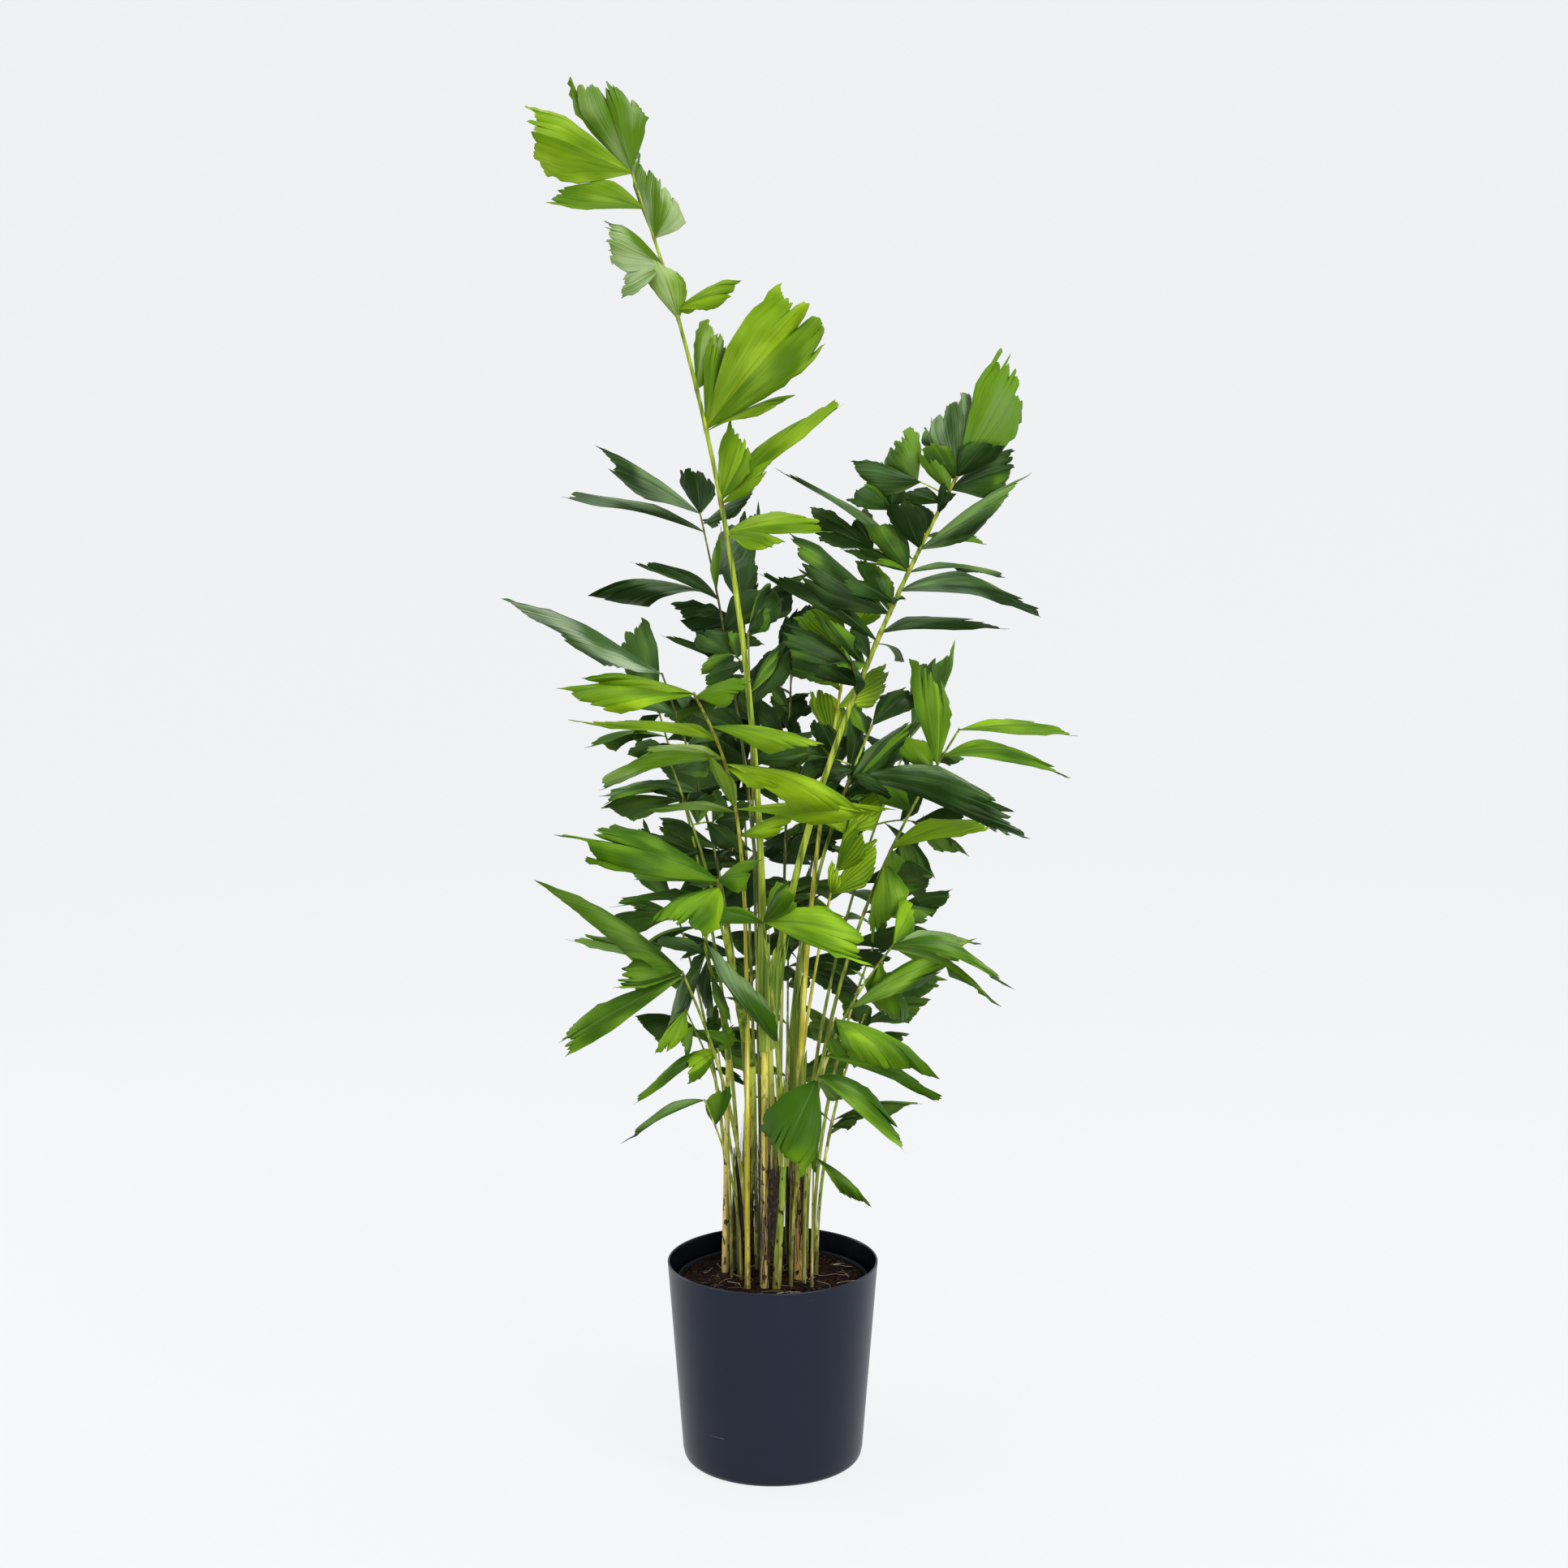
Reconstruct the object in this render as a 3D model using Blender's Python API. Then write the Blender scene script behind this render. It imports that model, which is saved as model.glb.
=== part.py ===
# A potted fishtail palm: a clump of canes and thin leaf stalks in a plain tapered pot.
# Metres, +Z up, the origin at the middle of the pot's flat underside, the pictured side towards -Y.
# The tables of the plant are in centimetres, the pot's sizes in metres.

import math
import random

import bmesh
import bpy
from mathutils import Matrix, Vector
from mathutils.bvhtree import BVHTree

CM = 0.01
CLEAR = 0.0003

# The pot, the inner growing pot that stands in it, and the soil.
POT_HEIGHT = 0.264
POT_RIM_RADIUS = 0.135
POT_FOOT_RADIUS = 0.115
POT_FOOT_ROUNDING = 0.011
POT_WALL = 0.0026
POT_FLOOR = 0.004
POT_SIDES = 44
LINER_HEIGHT = 0.2405
LINER_RIM_RADIUS = 0.1215
LINER_FOOT_RADIUS = 0.098
LINER_WALL = 0.0018
LINER_LIP = 0.0022
LINER_SIDES = 36
SOIL_TOP = 0.236

# The limbs: rings of a few sides along a path, a level every few centimetres.
LEVEL_STEP = 0.02
LIMB_GAP = 0.0009
RELAX_ROUNDS = 80
CANE_SIDES = 9
CANE_RING_STEP = 0.055
STALK_SIDES = 4
STALK_RING_STEP = 0.07

# The leaflets: a fishtail wedge with a slanting, notched end.
LEAF_THICKNESS = 0.0019
LEAF_THICKNESS_SHARE = 0.011
LEAF_ROOT_HALF_WIDTH = 0.0016
LEAF_MIDDLE = 0.56
LEAF_FULL_WIDTH = 0.70
LEAF_SLANT = 0.17
LEAF_ROUND = 0.10
LEAF_NOTCH = 0.11
LEAF_NOTCH_INWARD = 0.5
LEAF_CUP = 0.10
LEAF_ROOT_SHARE = 0.08
LEAF_END_TAPER = 0.10
LEAF_SIZES = (1.0, 0.88, 0.75)
LEAF_SWINGS = (0.0, 9.0, -9.0, 20.0, -20.0)
LEAF_LIFTS = (0.0, 0.14, -0.14, 0.3)
LEAF_TWISTS = (0.0, 18.0, -18.0)
TEST_SWELL = 0.0007
LOWEST_LEAF_TIP = 0.285

# Canes: foot on the soil (right, back), top (right, back, up), radius at the foot and at the top.
CANES = {
    "cane_yellow": dict(foot=(-1.0, -3.0), top=(-1.0, -2.6, 54.5), radii=(0.58, 0.42), tone="yellow"),
    "cane_broad": dict(foot=(-3.7, 5.6), top=(-2.7, -0.2, 52.0), radii=(1.00, 0.62), tone="pale"),
    "cane_tan": dict(foot=(-6.2, 3.0), top=(-5.7, 3.0, 52.0), radii=(0.45, 0.32), tone="tan"),
    "cane_spotted": dict(foot=(0.5, -3.5), top=(1.4, -4.2, 40.0), radii=(0.60, 0.38), tone="pale"),
    "cane_orange": dict(foot=(3.6, 0.5), top=(3.3, 0.4, 40.0), radii=(0.88, 0.42), tone="tan"),
    "cane_core": dict(foot=(0.6, 1.5), top=(-0.4, 1.0, 54.0), radii=(0.66, 0.46), tone="pale"),
    "cane_rear": dict(foot=(-1.2, 6.4), top=(-1.0, 6.2, 50.0), radii=(0.70, 0.42), tone="pale"),
    "cane_rear_right": dict(foot=(2.5, 6.6), top=(2.6, 6.4, 47.0), radii=(0.62, 0.40), tone="pale"),
    "cane_stub": dict(foot=(-4.9, 4.0), top=(-4.6, 4.0, 41.0), radii=(0.60, 0.12), tone="fibre"),
}

# Fronds. A frond grows on from a cane's top, or stands on the soil at foot (right, back).
# Its lean grows with the height to the power of bow. stalk is its radius at the foot and the tip.
# A leaf is (height on the stalk, reach right, reach back, reach up, width, turn of its face,
# arch in hundredths, and the slant of its end where that isn't LEAF_SLANT).
# The face turns from the sky (0) to the viewer (90). The long corner of the end lies
# anticlockwise of the leaf as the viewer sees it, or clockwise where width is negative.
FRONDS = {
    "frond_tall": dict(
        cane="cane_yellow", tip=(-16.8, -3.0, 163.2), bow=2.45, stalk=(0.40, 0.13), tone="lime",
        leaves=[
            (163.2, -4.4, 0, 10.8, 8.6, 85, 4, 0.25), (163, -12.8, -1, 4.6, -8.2, 80, 5),
            (158.8, -10.4, -1.5, 2.2, 5, 70, 10), (155.3, 1.2, -1, 6.9, 8.2, 80, 6, 0.45),
            (152.4, -7.2, 0, 2.6, -6.2, 80, 6), (152, -5, -1, -2.4, 3.8, 80, 6),
            (145.6, -1.9, -1, 7, 5, 80, 5), (146.8, 7.6, 1, 2.4, 3.4, 70, 16),
            (137.3, 2.8, 1, 7.4, 5.4, 80, 5), (132.7, 2.5, 0, 9.6, 4.2, 85, 5),
            (132.5, 11.6, -2, 15.8, 10.5, 75, 5, 0.03), (132.2, 10.2, 1.5, 3.9, 1.4, 60, 12),
            (123.9, 2.6, 0, 8, 5, 85, 5), (123.8, 11.9, 1, 12.7, -3.9, 70, 6),
            (123.4, 6.2, -1, 4.4, 2.6, 70, 8), (119.9, 11.6, 2, 1.8, -5, 50, 8),
            (119.6, 5.9, -2, -1.3, 3, 50, 10), (146.6, 3, 1, 0.6, 1.6, 60, 8),
        ]),
    "frond_right": dict(
        cane="cane_core", tip=(22.9, 3.0, 126.5), bow=1.66, stalk=(0.44, 0.16), tone="dark",
        leaves=[
            (126.5, 7.8, -1, 12.6, 8.6, 75, 6), (126.5, -2, 1, 9, -8, 80, 6),
            (124.8, 8.4, 2, 3, 6, 65, 8), (126.3, 3.6, -3, 4.6, -4.6, 75, 6),
            (124, -9.1, -1, 4.8, -7, 75, 6), (119.1, -8.3, -2, 6.2, 5.5, 70, 8),
            (119, 6.6, 2, -0.4, -2.4, 50, 10), (117.4, 12, -1.5, 6.6, 4.6, 65, 8, 0.32),
            (114.8, -11.9, 1, 7, -5.2, 50, 8), (114.5, 11, 3, 0.5, -2, 40, 10),
            (114.6, -3.4, -2, 6.2, 4.6, 75, 5), (112.2, 15.6, -3, -0.2, -5, 40, 10, 0.22),
            (109.4, -12.4, -2.5, 6.8, -7, 65, 8), (109.6, -2.2, 0.5, 6.5, 4, 80, 6),
            (107, 12.6, -1, 1.4, -3.6, 35, 8, 0.32), (101.6, -9.6, -2, 5, -6.5, 65, 8),
            (117.5, -2.5, -3.5, 5.5, 4.5, 80, 6), (126.2, -3.2, -3.5, 4, 3.6, 80, 6),
            (124.6, -2.2, -3, 4.4, 3.6, 80, 6), (114.7, -6.6, 0, 3.4, 2.8, 60, 8),
            (106, -12.4, -1, 9, 3.6, 60, 8), (102.6, -4.6, -3, 6.8, 3, 75, 5),
            (116, -14.6, 3, 10.4, 2, 60, 8),
        ]),
    "frond_lime": dict(
        foot=(-3.2, -3.4), tip=(-9.4, -13.0, 101.5), bow=7.5, stalk=(0.32, 0.12), tone="lime",
        leaves=[
            (101.3, -14, -3, 0.2, -5.2, 50, 8), (101, 5.8, -1, 1.2, 4.2, 50, 10),
            (97, 12, -3, -1.2, 3.6, 55, 8), (95, -12.4, -2, 2.6, 3, 35, 8, 0.5),
            (92.6, -8.6, 2, 1.6, 2.4, 50, 10), (92, 14.8, -4, -5, 3.8, 50, 13),
            (91.5, 7, -4, -2, 3, 50, 10), (92.6, -14.6, 3, -2.4, 3.8, 45, 14),
            (86, 17.2, -3, -0.9, 3.2, 50, 8), (86, -2.2, -3, 6.6, 2.6, 105, 5),
            (85.6, -10.6, 4, -0.2, 2, 50, 10), (82.5, 6.4, -3, 2.8, 2.8, 60, 8),
            (101.4, -11.8, -2, 2.4, -2.4, 50, 8),
        ]),
    "frond_fan": dict(
        cane="cane_broad", tip=(-6.6, -12.0, 78.5), bow=0.9, stalk=(0.36, 0.14), tone="bright",
        leaves=[
            (78.3, -15.2, -5, 6, 6.8, 60, 10, 0.05), (77.5, -4.3, -8, -3.2, -7.6, 60, 14),
            (78, -18.3, 3, 5.4, 2, 50, 8), (77.6, -10, 5, 0.4, 2.8, 45, 10),
            (75.4, -12.6, 6, -1, 2.2, 45, 10), (78.4, 4.2, -3, 1.6, 4.2, 60, 8),
        ]),
    "frond_centre": dict(
        cane="cane_spotted", tip=(-1.1, -10.0, 72.8), bow=1.6, stalk=(0.30, 0.12), tone="bright",
        leaves=[
            (72.8, 12.2, -5, -1.2, -6.6, 60, 17), (72.6, -6.5, -3.5, 2.2, 3, 60, 10),
            (56.5, -5.6, -3, 10.6, 4.4, 112, 8, 0.45), (71.5, 3, 4, 5, 3.6, 60, 8),
        ]),
    "frond_right_middle": dict(
        foot=(4.3, 4.4), tip=(23.6, 4.0, 94.7), bow=2.4, stalk=(0.28, 0.11), tone="middle",
        leaves=[
            (94.5, 13.2, 0, 0.1, -3.2, 40, 6), (91, 14, -2, 0.1, -4, 45, 14),
            (90, -1.4, -2, 12.6, 5.2, 80, 5), (79.2, 11.4, -3, 4, -4.2, 50, 12),
            (88, 10, 4, -8, 1.6, 60, 10), (84, -5, 2.5, 4, 5, 60, 8),
            (77.4, 0.9, -3.5, -7.4, -6, 70, 12), (89, -3.5, 1.5, 4.5, 4.4, 80, 6),
            (71, 9.2, 5, -1.8, 3.8, 45, 10),
        ]),
    "frond_right_fan": dict(
        cane="cane_rear_right", tip=(12.6, 2.5, 95.5), bow=2.2, stalk=(0.28, 0.12), tone="dark",
        leaves=[
            (88.5, 20.3, -7, -2.6, -7, 50, 15), (95.3, 5.2, 2, 4.6, -4.4, 60, 10),
            (87, 7.5, 2, 9, -3.6, 70, 6), (86, 8.5, -3, 7.5, 3.6, 70, 6),
            (94, -2, 4, 3, 3, 70, 6), (90, -7.5, 4, 2, 4.6, 60, 8),
            (80, 6, 6, 3, 4.6, 50, 10),
        ]),
    "frond_back_left_dark": dict(
        cane="cane_rear", tip=(-9.2, 10.0, 121.5), bow=2.0, stalk=(0.26, 0.08), tone="dark",
        leaves=[
            (121.3, -12, 1, 7, -3.2, 60, 6), (119, -15.5, -1, 5, 2.6, 45, 8),
            (121.3, -0.5, 2, 5.5, 4.8, 80, 6), (120, 6.5, 2, 3, 2.8, 50, 8),
            (113.5, 3.8, 1, 5.2, 5.6, 80, 6), (110.5, -14.8, -1, 1.6, -2, 50, 18),
            (109, -2.6, -2, 0.5, 2.2, 60, 6), (106.5, 5.2, 0, 5.5, -5.6, 80, 6),
            (101.5, -2.6, -1.5, 5.4, 5.6, 75, 6), (99, 7, 5, 3, 4.4, 50, 10),
            (110.5, -8.8, 0, 5.6, 3, 60, 12), (102, -7, 0, 4.4, 1.8, 60, 8),
        ]),
    "frond_grey_left": dict(
        foot=(-3.0, 8.0), tip=(-14.0, 6.0, 101.5), bow=2.6, stalk=(0.24, 0.09), tone="grey",
        leaves=[
            (101.3, -15.2, -1, 5.4, -5.2, 50, 8, 0.45), (99, 3.5, 6, -2, 3.6, 60, 8),
            (96, -10, 3, 3, 4.2, 50, 10), (92, 6, 4, 4.4, 3.6, 50, 8),
            (86, -11, 4, 0, 4.2, 40, 12),
        ]),
    "frond_dark_middle": dict(
        foot=(-2.0, 3.9), tip=(-13.4, -1.0, 93.0), bow=2.3, stalk=(0.26, 0.09), tone="dark",
        leaves=[
            (93, -4, 2, -1.5, 4, 70, 8), (92.5, -4.2, -2, 1.2, 3, 70, 8),
            (90, 5, 2, 2, 5.2, 60, 8), (88, -8.5, 3, -2, 2.4, 40, 12),
            (83, 6, 4, 0, 4.6, 60, 8), (79, -8.5, 2, 2, 3.2, 45, 12),
        ]),
    "frond_left": dict(
        foot=(-3.2, 2.0), tip=(-11.1, -10.0, 66.6), bow=2.1, stalk=(0.28, 0.11), tone="middle",
        leaves=[
            (66.6, -11.6, 0.5, 6.3, -4.6, 50, 16, 0.7), (66.4, -12, 4, 4, 3.6, 45, 10),
            (66.3, -7.5, -3, 1.4, 5.4, 65, 8), (66, -15.4, -4, -8, 4.2, 60, 4, 0.03),
        ]),
    "frond_left_hub": dict(
        cane="cane_tan", tip=(-8.5, 1.5, 66.2), bow=1.8, stalk=(0.24, 0.10), tone="dark",
        leaves=[
            (66.2, -4.6, -3.5, -9, 2.8, 75, 10), (65.5, -0.6, 2.5, -8.2, 2.6, 80, 10),
            (64, 4.6, 5, -2.6, 2.6, 55, 18), (66, -6, 4, 2, 2.8, 60, 8),
        ]),
    "frond_left_low": dict(
        foot=(-4.4, 1.4), tip=(-10.9, -3.0, 60.0), bow=2.8, stalk=(0.20, 0.08), tone="middle",
        leaves=[
            (60, -2.3, -2, -5, -3.2, 75, 8), (59.8, -2.2, 2, -3, 1.6, 60, 8),
            (57.2, 4.6, -1, -1.6, 2.2, 60, 16),
        ]),
    "frond_left_lower": dict(
        foot=(-5.3, 0.9), tip=(-6.9, -1.6, 54.6), bow=2.6, stalk=(0.20, 0.08), tone="middle",
        leaves=[
            (54.6, -9.7, -2, -5.4, 2.2, 50, 14), (54.4, -3.6, -3.5, -1.8, 3.6, 65, 10),
            (54.2, 2, 2.5, 2.6, 2.6, 60, 10),
        ]),
    "frond_left_lowest": dict(
        foot=(-4.0, 0.0), tip=(-8.6, -3.4, 48.5), bow=2.5, stalk=(0.19, 0.08), tone="middle",
        leaves=[
            (48.4, -9.4, -2, -3.3, 2.2, 50, 16), (44.8, 0.7, -1.5, 4.8, -3.6, 75, 6),
        ]),
    "frond_right_low": dict(
        foot=(4.0, -1.5), tip=(15.0, -6.0, 69.0), bow=3.4, stalk=(0.26, 0.10), tone="bright",
        leaves=[
            (60.2, 14, -3, 7.4, 4, 55, 16), (69, 13.3, 1, -4.2, -3.8, 45, 20),
            (66.5, 2.2, 3.5, -9, 5, 75, 8), (67, -0.6, 4.5, -7, 3.4, 80, 8),
            (69, 3, 5, 4, 3.6, 60, 8), (68.5, 10.2, 5, 0.6, -2.4, 40, 14),
            (68.5, 12.8, 2, -5.6, -2.4, 45, 16),
        ]),
    "frond_right_lower": dict(
        foot=(2.3, -2.7), tip=(7.9, -7.0, 60.0), bow=2.2, stalk=(0.24, 0.10), tone="bright",
        leaves=[
            (59.8, 8.4, -4, -5.2, 5.6, 55, 20, 0.45), (54.8, 13.8, -2, -4.2, -3, 50, 16),
            (57.4, 1.8, -2.5, -2.2, 2.8, 60, 8), (52, 10.6, -6, -5.2, -4.4, 60, 20),
            (51.5, -4.2, -6.5, -8, 8.6, 75, 14), (50.5, -1.2, -2.2, -9.5, 2.6, 70, 6),
            (51.2, 4, 2, -2.6, 2.4, 50, 10),
        ]),
    "frond_lowest": dict(
        foot=(5.0, -2.9), tip=(5.2, -4.0, 41.2), bow=2.0, stalk=(0.18, 0.08), tone="middle",
        leaves=[(41.2, 6.4, -3, -5, 1.6, 60, 24)]),
    "frond_brown_rib": dict(
        foot=(-1.3, 3.9), tip=(-3.0, 0.0, 107.5), bow=1.2, stalk=(0.24, 0.08), tone="dark",
        leaves=[
            (98, 6, 2.5, 8.5, -5.2, 75, 6), (107.3, 3.5, 3, 5, 4.2, 80, 6),
            (103, -5, 4, 3, 4.2, 70, 8), (94, -7, 3, 3, 4.4, 60, 8), (91, 8, 1, 2, 4.6, 60, 8),
        ]),
    "frond_back_cane": dict(
        cane="cane_orange", tip=(10.0, 9.0, 106.5), bow=2.0, stalk=(0.34, 0.12), tone="lime",
        leaves=[
            (90.5, -5.5, -2, 6, 5.2, 85, 5), (93, -1, 3, 6, 4.8, 85, 5),
            (99, -5, 3, 6, 3.8, 80, 6), (104, -5, 1, 5, 5.2, 75, 6),
            (106.4, 3, 3, 5.5, 4.6, 75, 6), (97, 7, 5, 3, 4.6, 60, 8),
        ]),
    "frond_inner_lime": dict(
        foot=(2.3, 2.6), tip=(9.2, 0.6, 82.0), bow=2.2, stalk=(0.26, 0.10), tone="lime",
        leaves=[
            (81.8, -4, 3, 5, 5.2, 70, 6), (74, 6, -1.5, 5.6, 4.4, 80, 6),
            (77, 3, -3, 5, 4.2, 85, 6), (81.8, 5, 4, 4, 4.2, 60, 8),
        ]),
}

# Fronds of the far side, whose leaves follow a rule: pairs along the upper stalk and one at the tip.
# foot (right, back), tip (right, back, up), bow, pairs, leaf length, leaf width, tone.
FAR_FRONDS = {
    "frond_far_tall": ((-0.6, 8.6), (-4.0, 24.0, 108.0), 2.2, 4, 13.0, 5.2, "dark"),
    "frond_far_right_high": ((3.8, 8.6), (18.0, 20.0, 91.0), 2.2, 4, 12.5, 5.0, "middle"),
    "frond_far_left_high": ((-4.2, 7.2), (-15.0, 22.0, 94.0), 2.2, 4, 12.5, 5.0, "middle"),
    "frond_far_inner": ((0.8, 4.6), (2.4, 13.0, 101.0), 2.0, 4, 11.5, 5.2, "dark"),
    "frond_far_middle": ((0.8, 8.8), (7.0, 27.0, 84.0), 2.0, 4, 12.5, 5.0, "dark"),
    "frond_far_deep": ((-2.2, 9.8), (-4.0, 20.0, 86.0), 2.0, 3, 11.5, 5.0, "dark"),
    "frond_far_right_low": ((5.2, 6.6), (15.0, 18.0, 68.0), 2.2, 3, 12.0, 4.6, "middle"),
    "frond_far_left_low": ((-5.6, 5.6), (-13.0, 15.0, 70.0), 2.2, 3, 12.0, 4.6, "middle"),
    "frond_far_low": ((1.8, 10.0), (2.0, 24.0, 60.0), 2.0, 3, 11.5, 4.6, "bright"),
    "frond_far_side": ((5.6, 2.0), (12.0, 11.0, 56.0), 2.4, 2, 10.0, 4.2, "middle"),
}
FAR_STALK = (0.25, 0.09)
FAR_BARE_SHARE = 0.62
FAR_LAST_PAIR = 0.97
FAR_SEED = 11

TONES = {
    "lime": ((0.205, 0.375, 0.016), 0.42),
    "bright": ((0.078, 0.225, 0.010), 0.40),
    "middle": ((0.045, 0.130, 0.016), 0.40),
    "dark": ((0.018, 0.056, 0.020), 0.38),
    "grey": ((0.065, 0.150, 0.070), 0.48),
    "pale": ((0.230, 0.300, 0.055), 0.50),
    "yellow": ((0.560, 0.430, 0.080), 0.50),
    "tan": ((0.420, 0.230, 0.070), 0.60),
    "fibre": ((0.060, 0.035, 0.022), 0.90),
    "pot": ((0.020, 0.023, 0.033), 0.48),
    "liner": ((0.120, 0.125, 0.135), 0.60),
    "soil": ((0.026, 0.011, 0.007), 0.95),
}


def clear_scene():
    for old in list(bpy.data.objects):
        bpy.data.objects.remove(old)


def material(tone):
    name = "mat_" + tone
    found = bpy.data.materials.get(name)
    if found:
        return found
    colour, roughness = TONES[tone]
    made = bpy.data.materials.new(name)
    made.use_nodes = True
    shader = made.node_tree.nodes["Principled BSDF"]
    shader.inputs["Base Color"].default_value = (*colour, 1.0)
    shader.inputs["Roughness"].default_value = roughness
    shader.inputs["Metallic"].default_value = 0.0
    return made


def add_object(name, points, faces, tone):
    mesh = bpy.data.meshes.new(name)
    mesh.from_pydata([tuple(point) for point in points], [], faces)
    mesh.materials.append(material(tone))
    item = bpy.data.objects.new(name, mesh)
    bpy.context.scene.collection.objects.link(item)
    return item


def smooth(item, angle):
    item.data.shade_smooth()
    item.data.set_sharp_from_angle(angle=math.radians(angle))


# A turned piece: a closed profile of (radius, height) carried round the axis.
def turned(name, profile, sides, tone):
    mesh_data = bmesh.new()
    rings = []
    for radius, height in profile:
        if radius == 0.0:
            rings.append([mesh_data.verts.new((0.0, 0.0, height))])
            continue
        ring = []
        for side in range(sides):
            angle = 2.0 * math.pi * side / sides
            ring.append(mesh_data.verts.new((radius * math.cos(angle), radius * math.sin(angle), height)))
        rings.append(ring)
    for lower, upper in zip(rings, rings[1:]):
        for side in range(sides):
            after = (side + 1) % sides
            if len(lower) == 1:
                mesh_data.faces.new((lower[0], upper[after], upper[side]))
            elif len(upper) == 1:
                mesh_data.faces.new((lower[side], lower[after], upper[0]))
            else:
                mesh_data.faces.new((lower[side], lower[after], upper[after], upper[side]))
    bmesh.ops.recalc_face_normals(mesh_data, faces=mesh_data.faces)
    mesh = bpy.data.meshes.new(name)
    mesh_data.to_mesh(mesh)
    mesh_data.free()
    mesh.materials.append(material(tone))
    item = bpy.data.objects.new(name, mesh)
    bpy.context.scene.collection.objects.link(item)
    smooth(item, 40.0)
    return item


def make_pot():
    slope = (POT_RIM_RADIUS - POT_FOOT_RADIUS) / POT_HEIGHT
    profile = [(0.0, 0.0)]
    corner = POT_FOOT_RADIUS - POT_FOOT_ROUNDING
    for step in range(5):
        angle = math.radians(-90.0 + 22.5 * step)
        radius = corner + POT_FOOT_ROUNDING * math.cos(angle)
        profile.append((radius, POT_FOOT_ROUNDING * (1.0 + math.sin(angle))))
    profile.append((POT_RIM_RADIUS - POT_WALL * 0.3, POT_HEIGHT - 0.001))
    profile.append((POT_RIM_RADIUS, POT_HEIGHT))
    profile.append((POT_RIM_RADIUS - POT_WALL, POT_HEIGHT))
    inner_foot = POT_FOOT_RADIUS + slope * POT_FLOOR - POT_WALL - POT_FOOT_ROUNDING * 0.4
    profile.append((inner_foot + POT_FOOT_ROUNDING * 0.4, POT_FLOOR + POT_FOOT_ROUNDING))
    profile.append((inner_foot, POT_FLOOR))
    profile.append((0.0, POT_FLOOR))
    turned("pot", profile, POT_SIDES, "pot")


def liner_radius(height):
    share = (height - POT_FLOOR) / (LINER_HEIGHT - POT_FLOOR)
    return LINER_FOOT_RADIUS + (LINER_RIM_RADIUS - LINER_FOOT_RADIUS) * share


def make_liner():
    foot = POT_FLOOR + CLEAR
    lip_foot = LINER_HEIGHT - 0.012
    floor_top = foot + LINER_WALL
    profile = [
        (0.0, foot),
        (LINER_FOOT_RADIUS, foot),
        (liner_radius(lip_foot), lip_foot),
        (liner_radius(lip_foot) + LINER_LIP, lip_foot + 0.001),
        (LINER_RIM_RADIUS + LINER_LIP, LINER_HEIGHT),
        (LINER_RIM_RADIUS - LINER_WALL, LINER_HEIGHT),
        (LINER_FOOT_RADIUS - LINER_WALL, floor_top),
        (0.0, floor_top),
    ]
    turned("grow_pot", profile, LINER_SIDES, "liner")


def make_soil():
    foot = POT_FLOOR + CLEAR + LINER_WALL + CLEAR
    wall = LINER_WALL + CLEAR * 1.6
    profile = [
        (0.0, foot),
        (LINER_FOOT_RADIUS - wall, foot),
        (liner_radius(SOIL_TOP) - wall - 0.0004, SOIL_TOP),
        (0.0, SOIL_TOP),
    ]
    turned("soil", profile, LINER_SIDES, "soil")


# A limb is a dictionary: its path is a list of points, one for each level, and radii at its ends.
def limb_levels(low, high):
    count = max(3, round((high - low) / LEVEL_STEP) + 1)
    return [low + (high - low) * index / (count - 1) for index in range(count)]


def plan_limbs():
    limbs = {}
    ground = SOIL_TOP + CLEAR
    for name, cane in CANES.items():
        foot = Vector((cane["foot"][0] * CM, cane["foot"][1] * CM, ground))
        top = Vector(cane["top"]) * CM
        path = []
        for height in limb_levels(foot.z, top.z):
            share = (height - foot.z) / (top.z - foot.z)
            point = foot.lerp(top, share)
            point.z = height
            path.append(point)
        limbs[name] = dict(path=path, radii=[r * CM for r in cane["radii"]], tone=cane["tone"], cane=True)
    sources = {name: (frond, frond["stalk"]) for name, frond in FRONDS.items()}
    for name, (foot, tip, bow, _, _, _, tone) in FAR_FRONDS.items():
        frond = dict(foot=foot, tip=tip, bow=bow, tone=tone)
        sources[name] = (frond, FAR_STALK)
    for name, (frond, stalk) in sources.items():
        if "cane" in frond:
            foot = limbs[frond["cane"]]["path"][-1] + Vector((0.0, 0.0, CLEAR))
        else:
            foot = Vector((frond["foot"][0] * CM, frond["foot"][1] * CM, ground))
        tip = Vector(frond["tip"]) * CM
        path = []
        for height in limb_levels(foot.z, tip.z):
            share = (height - foot.z) / (tip.z - foot.z)
            point = foot.lerp(tip, share ** frond["bow"])
            point.z = height
            path.append(point)
        radii = [r * CM for r in stalk]
        limbs[name] = dict(path=path, radii=radii, tone=frond["tone"], cane=False, on=frond.get("cane"))
    return limbs


def point_at(limb, height):
    path = limb["path"]
    if height <= path[0].z:
        return path[0].copy()
    for lower, upper in zip(path, path[1:]):
        if height <= upper.z:
            return lower.lerp(upper, (height - lower.z) / (upper.z - lower.z))
    return path[-1].copy()


def radius_at(limb, height):
    low = limb["path"][0].z
    high = limb["path"][-1].z
    share = min(1.0, max(0.0, (height - low) / (high - low)))
    return limb["radii"][0] + (limb["radii"][1] - limb["radii"][0]) * share


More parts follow.
